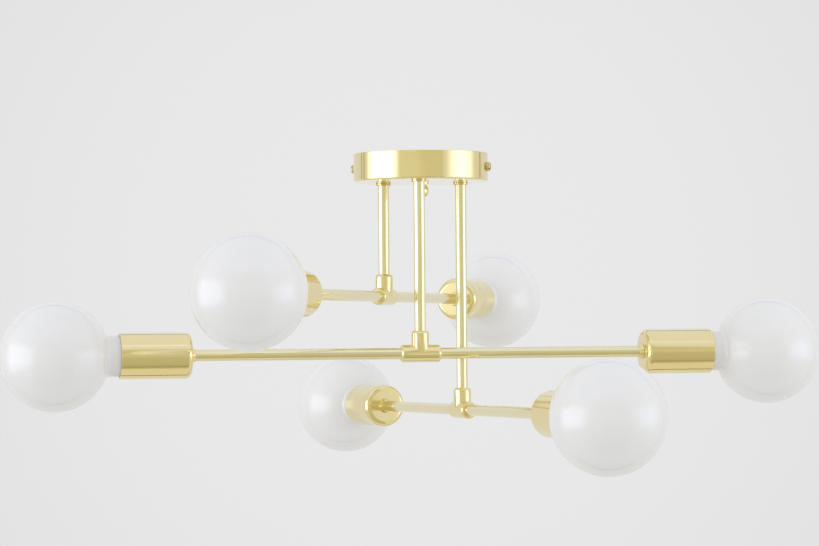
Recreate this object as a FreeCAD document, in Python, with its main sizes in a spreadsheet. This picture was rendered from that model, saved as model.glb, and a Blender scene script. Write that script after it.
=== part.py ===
import FreeCAD, Part
import math
import os

import Sketcher

# A three-tier sputnik ceiling light, in millimetres. The origin is the centre of the canopy's
# rim, on the ceiling. +Z points up and +X runs along the ceiling bracket.
# Each tier is a stem that turns in the canopy, with a tee at its foot and an arm to each side.
# Everything on an arm is drawn along +X from the tee and then turned into place about the stem.

SIZES = [
    # Canopy and what hangs under it
    ("canopy_diameter", 120.0, "outside diameter of the canopy"),
    ("canopy_height", 25.0, "ceiling to the canopy's underside"),
    ("canopy_wall", 1.2, "sheet thickness of the canopy"),
    ("canopy_edge", 1.8, "outside radius of the canopy's bottom edge"),
    ("finial_ball_diameter", 14.0, "ball of the finial"),
    ("finial_drop", 8.0, "canopy's underside to the ball's centre"),
    ("finial_neck_diameter", 10.0, "neck between the flange and the ball"),
    ("finial_flange_height", 2.0, "thickness of the finial's flange"),
    ("finial_stud_diameter", 6.0, "stud of the finial"),
    ("finial_stud_length", 6.4, "stud, above the canopy's underside"),
    ("finial_nut_width", 10.0, "lock nut across its flats"),
    ("finial_nut_height", 4.0, "lock nut's height"),
    # Ceiling bracket and its screws
    ("bracket_width", 20.0, "width of the strap"),
    ("bracket_thickness", 2.0, "thickness of the strap"),
    ("bracket_bend", 3.0, "outside radius of the strap's bends"),
    ("bracket_gap", 1.5, "bracket's leg to the canopy's wall"),
    ("bracket_leg_length", 18.0, "ceiling to the leg's lower end"),
    ("slot_spacing", 80.0, "ceiling screw slots, centre to centre"),
    ("slot_length", 14.0, "ceiling screw slot, end to end"),
    ("slot_width", 4.5, "ceiling screw slot's width"),
    ("cable_hole_diameter", 12.0, "hole for the supply cable"),
    ("cable_hole_offset", 23.0, "cable hole's distance from the centre"),
    ("side_screw_drop", 12.5, "ceiling to the side screws' axis"),
    ("side_screw_diameter", 4.0, "side screw's thread"),
    ("side_screw_length", 8.0, "side screw under its head"),
    ("side_head_diameter", 8.0, "side screw's head"),
    ("side_head_height", 3.5, "side screw's head, from the wall out"),
    ("side_hole_clearance", 0.2, "side screw to its hole in the canopy"),
    ("earth_screw_offset", 24.0, "earth screw's distance from the centre"),
    ("earth_screw_diameter", 4.0, "earth screw's thread"),
    ("earth_head_diameter", 7.5, "earth screw's head"),
    ("earth_head_height", 2.6, "earth screw's head height"),
    ("strap_screw_setback", 0.2, "ceiling to the ends of the strap's screws"),
    # Terminal block
    ("block_length", 30.0, "terminal block along the bracket"),
    ("block_width", 17.0, "terminal block across the bracket"),
    ("block_height", 12.0, "terminal block's height"),
    ("pole_pitch", 10.0, "distance between the block's poles"),
    ("insert_diameter", 5.6, "brass barrel of a pole"),
    ("insert_bore", 3.6, "wire hole of a pole"),
    ("clamp_screw_diameter", 3.0, "clamp screw of a pole"),
    ("clamp_screw_offset", 4.5, "clamp screw's distance from the pole's middle"),
    ("clamp_screw_recess", 1.0, "clamp screw's end inside the block's face"),
    ("block_screw_diameter", 3.0, "screw that fixes the block"),
    ("block_head_diameter", 5.5, "head of that screw"),
    ("block_head_height", 2.0, "height of that head"),
    ("block_screw_recess", 3.0, "block's face to the foot of that head"),
    ("cable_diameter", 3.5, "cable from a stem to the terminal block"),
    ("cable_turn", 11.5, "block's face to the cable's last bend"),
    ("cable_bend", 6.0, "radius of the cable's last bend"),
    # Tubes, and the swivel at each stem's top
    ("tube_diameter", 10.0, "outside diameter of stems and arms"),
    ("tube_wall", 1.0, "wall of stems and arms"),
    ("stem_setback", 20.0, "canopy's edge to each stem's axis"),
    ("first_stem_angle", 40.0, "direction of the lower tier's stem"),
    ("swivel_clearance", 0.05, "stem to bush, on the radius"),
    ("swivel_play", 0.1, "stem nut to bush, along the axis"),
    ("bush_wall", 0.85, "wall of the bush"),
    ("bush_flange_diameter", 13.0, "bush flange under the canopy"),
    ("bush_flange_height", 2.0, "bush flange's thickness"),
    ("bush_thread_length", 5.0, "bush above the canopy's floor"),
    ("bush_nut_width", 15.0, "bush nut across its flats"),
    ("bush_nut_height", 3.0, "bush nut's height"),
    ("stem_nut_width", 14.0, "stem nut across its flats"),
    ("stem_nut_height", 3.5, "stem nut's height"),
    ("stem_end_length", 0.5, "stem above its nut"),
    ("stem_cable_diameter", 6.0, "cables together inside the stem"),
    ("arm_cable_diameter", 4.5, "cable inside the arms"),
    ("wiring_end_length", 0.7, "stem's cable above the stem's end"),
    # Tiers
    ("upper_level", 126.5, "ceiling to the upper arms' axis"),
    ("level_step", 51.0, "height between two tiers"),
    ("upper_arm_angle", 83.5, "direction of the upper arms"),
    ("middle_arm_angle", 25.5, "direction of the middle arms"),
    ("lower_arm_angle", 123.0, "direction of the lower arms"),
    # Tee
    ("tee_diameter", 15.6, "outside diameter of the tee"),
    ("tee_length", 36.0, "tee along the arms"),
    ("tee_height", 20.0, "arms' axis to the tee's top"),
    ("tee_end_length", 3.0, "rounded end of each tee mouth"),
    ("tee_mouth_diameter", 11.0, "face of each tee mouth"),
    ("tee_socket_depth", 9.0, "tube inside a tee mouth"),
    # Arms and lamp cups
    ("arm_reach", 203.0, "stem's axis to the cup's closed end"),
    ("arm_thread_length", 9.2, "arm inside the cup"),
    ("collar_length", 3.5, "trim collar along the arm"),
    ("collar_diameter", 14.0, "trim collar at the cup"),
    ("collar_tip_diameter", 11.5, "trim collar's thin end"),
    ("cup_diameter", 40.0, "outside diameter of the lamp cup"),
    ("cup_length", 62.0, "lamp cup, end to end"),
    ("cup_wall", 0.8, "sheet thickness of the lamp cup"),
    ("cup_corner", 5.0, "outside radius of the cup's closed end"),
    ("cup_lip", 0.3, "rounding of the cup's mouth"),
    # Lamp holder
    ("holder_gap", 0.4, "holder to the cup's wall"),
    ("holder_setback", 0.5, "lamp base's rim to the holder's rim"),
    ("holder_foot_diameter", 28.0, "holder's foot in the cup's closed end"),
    ("holder_foot_length", 6.0, "holder's foot, along the arm"),
    ("holder_shoulder", 3.0, "cone from the foot to the full width"),
    ("holder_floor_thickness", 8.0, "wall under the lamp's contact"),
    ("holder_chamber_diameter", 18.0, "wire chamber behind that wall"),
    ("screw_shell_gap", 0.2, "lamp base to the screw shell"),
    ("screw_shell_wall", 0.5, "thickness of the screw shell"),
    ("screw_shell_setback", 2.0, "holder's rim to the screw shell"),
    ("contact_diameter", 6.0, "centre contact of the holder"),
    ("contact_height", 2.0, "centre contact, floor to lamp"),
    # Lamp
    ("lamp_insertion", 35.5, "cup's mouth to the lamp's tip"),
    ("base_diameter", 26.2, "lamp base over its thread"),
    ("base_length", 26.5, "lamp base, tip to rim"),
    ("base_wall", 0.4, "thickness of the lamp base"),
    ("base_tip_diameter", 9.0, "contact at the lamp's tip"),
    ("base_tip_height", 1.5, "height of that contact"),
    ("base_cone_length", 5.0, "tip to the start of the thread"),
    ("base_floor", 8.0, "tip to the floor inside the base"),
    ("base_seat", 8.0, "neck inside the base"),
    ("neck_diameter", 35.0, "lamp's neck"),
    ("neck_flare", 6.5, "neck's widening next to the base"),
    ("neck_length", 17.2, "base's rim to the neck's blend"),
    ("neck_blend", 4.0, "radius between neck and globe"),
    ("globe_diameter", 95.0, "globe of the lamp"),
    ("globe_wall", 1.0, "wall of the globe"),
    ("board_gap", 0.4, "light board to the neck's inside"),
    ("board_thickness", 1.6, "thickness of the light board"),
    ("driver_diameter", 18.0, "driver that carries the light board"),
]

STEM_SPACING = 120
FULL_TURN = 360
NUT_CORNER_ANGLE = 30
TRIM_OVERRUN = 1

# Places along an arm, from the stem's axis
TUBE_RADIUS = "Sizes.tube_diameter / 2"
BORE_RADIUS = "(Sizes.tube_diameter / 2 - Sizes.tube_wall)"
CUP_RADIUS = "Sizes.cup_diameter / 2"
CUP_INSIDE = "(Sizes.cup_diameter / 2 - Sizes.cup_wall)"
CUP_FLOOR = "(Sizes.arm_reach + Sizes.cup_wall)"
CUP_MOUTH = "(Sizes.arm_reach + Sizes.cup_length)"
ARM_END = "(Sizes.arm_reach + Sizes.arm_thread_length)"
LAMP_TIP = f"({CUP_MOUTH} - Sizes.lamp_insertion)"
HOLDER_FLOOR = f"({LAMP_TIP} - Sizes.contact_height)"
CHAMBER_END = f"({HOLDER_FLOOR} - Sizes.holder_floor_thickness)"
SHELL_INSIDE = "(Sizes.base_diameter / 2 + Sizes.screw_shell_gap)"
SHELL_OUTSIDE = f"({SHELL_INSIDE} + Sizes.screw_shell_wall)"
BASE_RIM = f"({LAMP_TIP} + Sizes.base_length)"
HOLDER_RIM = f"({BASE_RIM} - Sizes.holder_setback)"

# Heights in the canopy, and the circle that the stems stand on
STEM_CIRCLE = "(Sizes.canopy_diameter / 2 - Sizes.stem_setback)"
FLOOR_HEIGHT = "(Sizes.canopy_wall - Sizes.canopy_height)"
BUSH_TOP = f"({FLOOR_HEIGHT} + Sizes.bush_thread_length)"
STEM_NUT_FOOT = f"({BUSH_TOP} + Sizes.swivel_play)"
STEM_TOP = f"({STEM_NUT_FOOT} + Sizes.stem_nut_height + Sizes.stem_end_length)"
WIRING_TOP = f"({STEM_TOP} + Sizes.wiring_end_length)"
BUSH_BORE = "(Sizes.tube_diameter / 2 + Sizes.swivel_clearance)"
BUSH_RADIUS = f"({BUSH_BORE} + Sizes.bush_wall)"
BLOCK_MIDDLE = "(-Sizes.bracket_thickness - Sizes.block_height / 2)"

# Each tier's depth under the ceiling, and the turn of its stem from the first stem
TIER_LEVELS = {
    "upper": "Sizes.upper_level",
    "middle": "(Sizes.upper_level + Sizes.level_step)",
    "lower": "(Sizes.upper_level + 2 * Sizes.level_step)",
}
TIER_TURNS = {"lower": 0, "upper": STEM_SPACING, "middle": 2 * STEM_SPACING}
SIDE_TURNS = {"left": 180, "right": 0}

ZERO = "0"
THROUGH_LENGTH = "4 * Sizes.canopy_diameter"
POLE_PLACES = ["-Sizes.pole_pitch", ZERO, "Sizes.pole_pitch"]
SHORTEST_RUN = 0.001
VOLUME_TOLERANCE = 0.001
UP = FreeCAD.Vector(0, 0, 1)
ORIGIN_INDEX = -1
AXIS_INDEX = {"DistanceX": -2, "DistanceY": -1}

doc = FreeCAD.newDocument("SputnikChandelier")
sheet = doc.addObject("Spreadsheet::Sheet", "Sizes")
for row, (alias, number, meaning) in enumerate(SIZES, start=1):
    sheet.set(f"A{row}", meaning)
    sheet.set(f"B{row}", str(number))
    sheet.setAlias(f"B{row}", alias)
doc.recompute()

nodes = []


def measure(expression):
    """The number that an expression on the sheet gives."""
    return float(sheet.evalExpression(expression))


def new_sketch(body, name, role):
    """A sketch on one of the body's own origin planes."""
    plane = next(feature for feature in body.Origin.OriginFeatures if feature.Role == role)
    sketch = body.newObject("Sketcher::SketchObject", name)
    sketch.AttachmentSupport = [(plane, "")]
    sketch.MapMode = "FlatFace"
    return sketch


def fix_place(sketch, kind, edge, point, name, expression):
    """Hold one coordinate of a sketch point at an expression."""
    if expression == ZERO:
        sketch.addConstraint(Sketcher.Constraint("PointOnObject", edge, point, AXIS_INDEX[kind]))
        return
    constraint = Sketcher.Constraint(kind, ORIGIN_INDEX, 1, edge, point, measure(expression))
    index = sketch.addConstraint(constraint)
    sketch.renameConstraint(index, name)
    sketch.setExpression(f"Constraints.{name}", expression)


def fix_radius(sketch, edge, name, expression):
    """Hold the radius of an arc or a circle at an expression."""
    index = sketch.addConstraint(Sketcher.Constraint("Radius", edge, measure(expression)))
    sketch.renameConstraint(index, name)
    sketch.setExpression(f"Constraints.{name}", expression)


def short_arc(start, end, radius, turn):
    """The arc of under half a circle from start to end; turn is left or right."""
    chord = end - start
    half = chord.Length / 2
    side = FreeCAD.Vector(-chord.y, chord.x, 0).normalize()
    reach = math.sqrt(max(radius * radius - half * half, 0))
    centre = start + chord * 0.5 + side * (reach if turn == "left" else -reach)
    first, last = (start, end) if turn == "left" else (end, start)
    angles = [math.atan2(point.y - centre.y, point.x - centre.x) for point in (first, last)]
    return Part.ArcOfCircle(Part.Circle(centre, UP, radius), angles[0], angles[1])


def draw_outline(sketch, corners):
    """Draw a closed outline. A corner is (across, along), and an arc to the next adds (radius, turn)."""
    points = [FreeCAD.Vector(measure(corner[0]), measure(corner[1]), 0) for corner in corners]
    ends = []
    first_edge = sketch.GeometryCount
    for index, corner in enumerate(corners):
        start = points[index]
        end = points[(index + 1) % len(points)]
        if len(corner) == 2:
            sketch.addGeometry(Part.LineSegment(start, end), False)
            ends.append((1, 2))
        else:
            radius, turn = corner[2]
            sketch.addGeometry(short_arc(start, end, measure(radius), turn), False)
            ends.append((1, 2) if turn == "left" else (2, 1))
    for index, corner in enumerate(corners):
        edge = first_edge + index
        following = (index + 1) % len(corners)
        joint = Sketcher.Constraint(
            "Coincident", edge, ends[index][1], first_edge + following, ends[following][0])
        sketch.addConstraint(joint)
        fix_place(sketch, "DistanceX", edge, ends[index][0], f"Across{edge}", corner[0])
        fix_place(sketch, "DistanceY", edge, ends[index][0], f"Along{edge}", corner[1])
        if len(corner) == 3:
            fix_radius(sketch, edge, f"Radius{edge}", corner[2][0])


def draw_circle(sketch, across, along, radius):
    """Draw one circle at expressions for its centre and radius."""
    centre = FreeCAD.Vector(measure(across), measure(along), 0)
    edge = sketch.addGeometry(Part.Circle(centre, UP, measure(radius)), False)
    fix_place(sketch, "DistanceX", edge, 3, f"Across{edge}", across)
    fix_place(sketch, "DistanceY", edge, 3, f"Along{edge}", along)
    fix_radius(sketch, edge, f"Radius{edge}", radius)


def new_body(name):
    """An empty body under its own label."""
    return doc.addObject("PartDesign::Body", name)


def add_turned(body, name, corners, axis, kind="Revolution"):
    """Turn an outline of the XZ plane fully about the sketch's horizontal or vertical axis."""
    sketch = new_sketch(body, f"{name}Outline", "XZ_Plane")
    draw_outline(sketch, corners)
    feature = body.newObject(f"PartDesign::{kind}", name)
    feature.Profile = sketch
    feature.ReferenceAxis = (sketch, [axis])
    feature.Angle = FULL_TURN
    sketch.Visibility = False


def add_pad(body, name, role, corners, length, midplane=False):
    """Pad an outline from one of the origin planes, or evenly to both sides of it."""
    sketch = new_sketch(body, f"{name}Outline", role)
    draw_outline(sketch, corners)
    feature = body.newObject("PartDesign::Pad", name)
    feature.Profile = sketch
    feature.setExpression("Length", length)
    if midplane:
        feature.SideType = "Symmetric"
    sketch.Visibility = False
    return sketch


def add_circle_pad(body, name, role, centres, radius, length, way):
    """Pad like circles of an origin plane; way is Up, Down or Symmetric."""
    sketch = new_sketch(body, f"{name}Outline", role)
    for across, along in centres:
        draw_circle(sketch, across, along, radius)
    feature = body.newObject("PartDesign::Pad", name)
    feature.Profile = sketch
    feature.setExpression("Length", length)
    if way == "Symmetric":
        feature.SideType = way
    feature.Reversed = way == "Down"
    sketch.Visibility = False
    return sketch


def add_through_cut(body, name, role, circles=(), outlines=()):
    """Cut circles and outlines of an origin plane right through the body, to both sides."""
    sketch = new_sketch(body, f"{name}Outline", role)
    for across, along, radius in circles:
        draw_circle(sketch, across, along, radius)
    for corners in outlines:
        draw_outline(sketch, corners)
    doc.recompute()
    before = body.Tip.Shape.Volume
    feature = body.newObject("PartDesign::Pocket", name)
    feature.Profile = sketch
    feature.Type = "Length"
    feature.SideType = "Symmetric"
    feature.setExpression("Length", THROUGH_LENGTH)
    sketch.Visibility = False
    doc.recompute()
    if feature.Shape.Volume >= before:
        raise ValueError(f"{body.Label}: {name} cuts nothing")


def add_cut_below(body, name, height, circles):
    """Cut circles downwards from a height of the body."""
    sketch = new_sketch(body, f"{name}Outline", "XY_Plane")
    sketch.setExpression("AttachmentOffset.Base.z", height)
    for across, along, radius in circles:
        draw_circle(sketch, across, along, radius)
    doc.recompute()
    before = body.Tip.Shape.Volume
    feature = body.newObject("PartDesign::Pocket", name)
    feature.Profile = sketch
    feature.Type = "Length"
    feature.setExpression("Length", "Sizes.canopy_height")
    sketch.Visibility = False
    doc.recompute()
    if feature.Shape.Volume >= before:
        raise ValueError(f"{body.Label}: {name} cuts nothing")


def stand(piece, across, along, height, turn=ZERO):
    """Put a piece at expressions for its place, turned about the vertical."""
    piece.Placement = FreeCAD.Placement(FreeCAD.Vector(), FreeCAD.Rotation(UP, measure(turn)))
    piece.setExpression("Placement.Base.x", across)
    piece.setExpression("Placement.Base.y", along)
    piece.setExpression("Placement.Base.z", height)
    piece.setExpression("Placement.Rotation.Angle", turn)


def stem_direction(tier):
    """The direction of a tier's stem from the canopy's centre."""
    return f"(Sizes.first_stem_angle + {TIER_TURNS[tier]})"


def stem_across(tier):
    """The place of a tier's stem along X."""
    return f"{STEM_CIRCLE} * cos({stem_direction(tier)})"


def stem_along(tier):
    """The place of a tier's stem along Y."""
    return f"{STEM_CIRCLE} * sin({stem_direction(tier)})"


def stand_on_stem(piece, tier, height):
    """Put a piece on a tier's stem axis at a height."""
    stand(piece, stem_across(tier), stem_along(tier), height)


def stand_on_arm(piece, tier, side):
    """Put a piece that is drawn along +X onto one arm of a tier."""
    turn = f"Sizes.{tier}_arm_angle + {SIDE_TURNS[side]}"
    stand(piece, stem_across(tier), stem_along(tier), f"-{TIER_LEVELS[tier]}", turn)


def keep(piece):
    """Count a piece as one of the nodes that are exported."""
    nodes.append(piece)
    return piece


def keep_group(name, members):
    """Export several like pieces as one node of separate solids."""
    group = doc.addObject("Part::Compound", name)
    group.Links = members
    return keep(group)


def make_tube(name, start, end, outside, inside):
    """A tube along X, between two places."""
    body = new_body(name)
    corners = [(start, inside), (end, inside), (end, outside), (start, outside)]
    add_turned(body, "Tube", corners, "H_Axis")
    return body


def make_hex_nut(name, across_flats, height, bore):
    """A hexagon nut on the XY plane with its top corners turned off at a slant."""
    body = new_body(name)
    corner_radius = f"{across_flats} / sqrt(3)"
    corners = []
    for number in range(6):
        along = ZERO if number % 3 == 0 else f"{corner_radius} * sin({60 * number})"
        corners.append((f"{corner_radius} * cos({60 * number})", along))
    sketch = add_pad(body, "Hexagon", "XY_Plane", corners, height)
    draw_circle(sketch, ZERO, ZERO, bore)
    outer = f"({corner_radius} + {TRIM_OVERRUN})"
    slope = f"({outer} - {across_flats} / 2) * tan({NUT_CORNER_ANGLE})"
    trim = [(f"{across_flats} / 2", height), (outer, f"{height} - {slope}"), (outer, height)]
    add_turned(body, "CornerTrim", trim, "V_Axis", "Groove")
    return body


def build_canopy():
    """Drawn cup, open towards the ceiling, with holes for stems, finial and side screws."""
    body = new_body("canopy")
    radius = "Sizes.canopy_diameter / 2"
    inside = f"({radius} - Sizes.canopy_wall)"
    inner_edge = "(Sizes.canopy_edge - Sizes.canopy_wall)"
    corners = [
        (ZERO, ZERO),
        (f"{radius} - Sizes.canopy_edge", ZERO, ("Sizes.canopy_edge", "left")),
        (radius, "Sizes.canopy_edge"),
        (radius, "Sizes.canopy_height"),
        (inside, "Sizes.canopy_height"),
        (inside, "Sizes.canopy_edge", (inner_edge, "right")),
        (f"{radius} - Sizes.canopy_edge", "Sizes.canopy_wall"),
        (ZERO, "Sizes.canopy_wall"),
    ]
    add_turned(body, "DrawnCup", corners, "V_Axis")
    holes = [(stem_across(tier), stem_along(tier), BUSH_RADIUS) for tier in TIER_TURNS]
    holes.append((ZERO, ZERO, "Sizes.finial_stud_diameter / 2"))
    add_through_cut(body, "FloorHoles", "XY_Plane", circles=holes)
    side_hole = "Sizes.side_screw_diameter / 2 + Sizes.side_hole_clearance"
    side_height = "Sizes.canopy_height - Sizes.side_screw_drop"
    add_through_cut(body, "SideHoles", "YZ_Plane", circles=[(ZERO, side_height, side_hole)])
    stand(body, ZERO, ZERO, "-Sizes.canopy_height")
    return keep(body)


def build_finial():
    """Ball with a neck and a flange against the canopy, its stud, and the nut inside."""
    body = new_body("ball_finial")
    ball = "Sizes.finial_ball_diameter / 2"
    neck = "Sizes.finial_neck_diameter / 2"
    flange = "Sizes.finial_ball_diameter / 2"
    stud = "Sizes.finial_stud_diameter / 2"
    underside = f"({ball} + Sizes.finial_drop)"
    corners = [
        (ZERO, ZERO, (ball, "left")),
        (ball, ball, (ball, "left")),
        (neck, f"{ball} + sqrt(({ball}) ^ 2 - ({neck}) ^ 2)"),
        (neck, f"{underside} - Sizes.finial_flange_height"),
        (flange, f"{underside} - Sizes.finial_flange_height"),
        (flange, underside),
        (stud, underside),
        (stud, f"{underside} + Sizes.finial_stud_length"),
        (ZERO, f"{underside} + Sizes.finial_stud_length"),
    ]
    add_turned(body, "Finial", corners, "V_Axis")
    stand(body, ZERO, ZERO, f"-Sizes.canopy_height - {underside}")
    keep(body)
    nut = make_hex_nut("finial_lock_nut", "Sizes.finial_nut_width", "Sizes.finial_nut_height", stud)
    stand(nut, ZERO, ZERO, FLOOR_HEIGHT)
    keep(nut)


def build_bracket():
    """Strap along X with two bent legs, ceiling slots, a cable hole and threaded holes."""
    body = new_body("ceiling_bracket")
    thickness = "Sizes.bracket_thickness"
    bend = "Sizes.bracket_bend"
    inner_bend = f"({bend} - {thickness})"
    out = "(Sizes.canopy_diameter / 2 - Sizes.canopy_wall - Sizes.bracket_gap)"
    low = "-Sizes.bracket_leg_length"
    corners = [
        (f"-{out}", low),
        (f"-{out} + {thickness}", low),
        (f"-{out} + {thickness}", f"-{bend}", (inner_bend, "right")),
        (f"-{out} + {bend}", f"-{thickness}"),
        (f"{out} - {bend}", f"-{thickness}", (inner_bend, "right")),
        (f"{out} - {thickness}", f"-{bend}"),
        (f"{out} - {thickness}", low),
        (out, low),
        (out, f"-{bend}", (bend, "left")),
        (f"{out} - {bend}", ZERO),
        (f"-{out} + {bend}", ZERO, (bend, "left")),
        (f"-{out}", f"-{bend}"),
    ]
    add_pad(body, "Strap", "XZ_Plane", corners, "Sizes.bracket_width", midplane=True)
    slot_radius = "Sizes.slot_width / 2"
    half_slot = f"(Sizes.slot_length / 2 - {slot_radius})"
    slots = []
    for side in ("-", ""):
        middle = f"{side}Sizes.slot_spacing / 2"
        slots.append([
            (f"{middle} + {half_slot}", f"-{slot_radius}", (slot_radius, "left")),
            (f"{middle} + {half_slot} + {slot_radius}", ZERO, (slot_radius, "left")),
            (f"{middle} + {half_slot}", slot_radius),
            (f"{middle} - {half_slot}", slot_radius, (slot_radius, "left")),
            (f"{middle} - {half_slot} - {slot_radius}", ZERO, (slot_radius, "left")),
            (f"{middle} - {half_slot}", f"-{slot_radius}"),
        ])
    holes = [
        ("-Sizes.cable_hole_offset", ZERO, "Sizes.cable_hole_diameter / 2"),
        ("Sizes.earth_screw_offset", ZERO, "Sizes.earth_screw_diameter / 2"),
        ("Sizes.pole_pitch / 2", ZERO, "Sizes.block_screw_diameter / 2"),
    ]
    add_through_cut(body, "StrapHoles", "XY_Plane", circles=holes, outlines=slots)
    leg_hole = [(ZERO, "-Sizes.side_screw_drop", "Sizes.side_screw_diameter / 2")]
    add_through_cut(body, "LegHoles", "YZ_Plane", circles=leg_hole)
    keep(body)


def build_side_screws():
    """Two round-headed screws through the canopy's wall into the bracket's legs."""
    screws = []
    shank = "Sizes.side_screw_diameter / 2"
    head = "Sizes.side_head_diameter / 2"
    rounding = "Sizes.side_head_height / 2"
    for side in ("left", "right"):
        body = new_body(f"side_screw_{side}")
        corners = [
            ("-Sizes.side_screw_length", ZERO),
            ("Sizes.side_head_height", ZERO),
            ("Sizes.side_head_height", f"{head} - {rounding}", (rounding, "left")),
            (f"Sizes.side_head_height - {rounding}", head),
            (ZERO, head),
            (ZERO, shank),
            ("-Sizes.side_screw_length", shank),
        ]
        add_turned(body, "Screw", corners, "H_Axis")
        sign = "-" if side == "left" else ""
        stand(body, f"{sign}Sizes.canopy_diameter / 2", ZERO, "-Sizes.side_screw_drop",
              str(SIDE_TURNS[side]))
        screws.append(body)
    keep_group("side_screws", screws)


def build_terminal_block():
    """Three-pole block under the bracket, with room for its barrels and screws."""
    body = new_body("terminal_block")
    half = "Sizes.block_length / 2"
    corners = [
        (f"-{half}", "-Sizes.block_height"),
        (half, "-Sizes.block_height"),
        (half, ZERO),
        (f"-{half}", ZERO),
    ]
    add_pad(body, "Housing", "XZ_Plane", corners, "Sizes.block_width", midplane=True)
    middle = "-Sizes.block_height / 2"
    barrels = [(place, middle, "Sizes.insert_diameter / 2") for place in POLE_PLACES]
    add_through_cut(body, "BarrelHoles", "XZ_Plane", circles=barrels)
    clamps = []
    for place in POLE_PLACES:
        for side in ("-", ""):
            clamps.append((place, f"{side}Sizes.clamp_screw_offset", "Sizes.clamp_screw_diameter / 2"))
    add_cut_below(body, "ClampHoles", middle, clamps)
    fixing = "Sizes.pole_pitch / 2"
    add_through_cut(body, "FixingHole", "XY_Plane",
                    circles=[(fixing, ZERO, "Sizes.block_screw_diameter / 2")])
    add_cut_below(body, "FixingRecess", "Sizes.block_screw_recess - Sizes.block_height",
                  [(fixing, ZERO, "Sizes.block_head_diameter / 2")])
    stand(body, ZERO, ZERO, "-Sizes.bracket_thickness")
    keep(body)


def build_terminal_inserts():
    """A brass barrel in each pole of the block, with two clamp screws from below."""
    inserts = []
    for number, place in enumerate(POLE_PLACES, start=1):
        body = new_body(f"terminal_insert_{number}")
        sketch = add_circle_pad(body, "Barrel", "XZ_Plane", [(ZERO, ZERO)],
                                "Sizes.insert_diameter / 2", "Sizes.block_width", "Symmetric")
        draw_circle(sketch, ZERO, ZERO, "Sizes.insert_bore / 2")
        clamps = [(ZERO, "-Sizes.clamp_screw_offset"), (ZERO, "Sizes.clamp_screw_offset")]
        add_circle_pad(body, "ClampScrews", "XY_Plane", clamps, "Sizes.clamp_screw_diameter / 2",
                       "Sizes.block_height / 2 - Sizes.clamp_screw_recess", "Down")
        stand(body, place, ZERO, BLOCK_MIDDLE)
        inserts.append(body)
    keep_group("terminal_inserts", inserts)


def build_bracket_screws():
    """The earth screw under the strap, and the screw that holds the terminal block."""
    screws = []
    sets = [
        ("earth_screw", "earth", "Sizes.earth_screw_offset", "-Sizes.bracket_thickness"),
        ("block_screw", "block", "Sizes.pole_pitch / 2",
         "(Sizes.block_screw_recess - Sizes.block_height - Sizes.bracket_thickness)"),
    ]
    for label, size, place, seat in sets:
        body = new_body(label)
        head = f"Sizes.{size}_head_diameter / 2"
        shank = f"Sizes.{size}_screw_diameter / 2"
        foot = f"{seat} - Sizes.{size}_head_height"
        rounding = f"Sizes.{size}_head_height / 2"
        corners = [
            (ZERO, foot),
            (f"{head} - {rounding}", foot, (rounding, "left")),
            (head, f"{foot} + {rounding}"),
            (head, seat),
            (shank, seat),
            (shank, "-Sizes.strap_screw_setback"),
            (ZERO, "-Sizes.strap_screw_setback"),
        ]
        add_turned(body, "Screw", corners, "V_Axis")
        stand(body, place, ZERO, ZERO)
        screws.append(body)
    keep_group("bracket_screws", screws)


def rounded_route(points, radii):
    """A wire along straight runs, with an arc of its own radius at each inner point."""
    edges = []
    place = points[0]
    for index, radius in enumerate(radii, start=1):
        corner = points[index]
        back = (points[index - 1] - corner).normalize()
        ahead = (points[index + 1] - corner).normalize()
        half_turn = (math.pi - back.getAngle(ahead)) / 2
        reach = radius * math.tan(half_turn)
        start = corner + back * reach
        end = corner + ahead * reach
        bulge = radius / math.cos(half_turn) - radius
        middle = corner + (back + ahead).normalize() * bulge
        if (start - place).Length > SHORTEST_RUN:
            edges.append(Part.LineSegment(place, start).toShape())
        edges.append(Part.Arc(start, middle, end).toShape())
        place = end
    edges.append(Part.LineSegment(place, points[-1]).toShape())
    return Part.Wire(edges)


def build_canopy_wiring():
    """Three cables, each from above a stem's end to the side of the terminal block."""
    radius = measure("Sizes.cable_diameter / 2")
    start_height = measure(WIRING_TOP)
    entry_height = measure(BLOCK_MIDDLE)
    face = measure("Sizes.block_width / 2")
    turn = face + measure("Sizes.cable_turn")
    cables = []
    for tier, pole, side in (("upper", 0, 1), ("middle", 1, -1), ("lower", 2, 1)):
        across = measure(stem_across(tier))
        along = measure(stem_along(tier))
        entry = measure(POLE_PLACES[pole])
        points = [
            FreeCAD.Vector(across, along, start_height),
            FreeCAD.Vector(across, along, entry_height),
            FreeCAD.Vector(entry, side * turn, entry_height),
            FreeCAD.Vector(entry, side * face, entry_height),
        ]
        radii = [entry_height - start_height, measure("Sizes.cable_bend")]
        route = rounded_route(points, radii)
        section = Part.Wire([Part.Circle(points[0], UP, radius).toShape()])
        cable = route.makePipeShell([section], True, False)
        expected = math.pi * radius * radius * route.Length
        if abs(cable.Volume - expected) > VOLUME_TOLERANCE * expected:
            raise ValueError(f"{tier} canopy cable: volume {cable.Volume}, not {expected}")
        cables.append(cable)
    feature = doc.addObject("Part::Feature", "canopy_wiring")
    feature.Shape = Part.makeCompound(cables)
    keep(feature)


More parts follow.
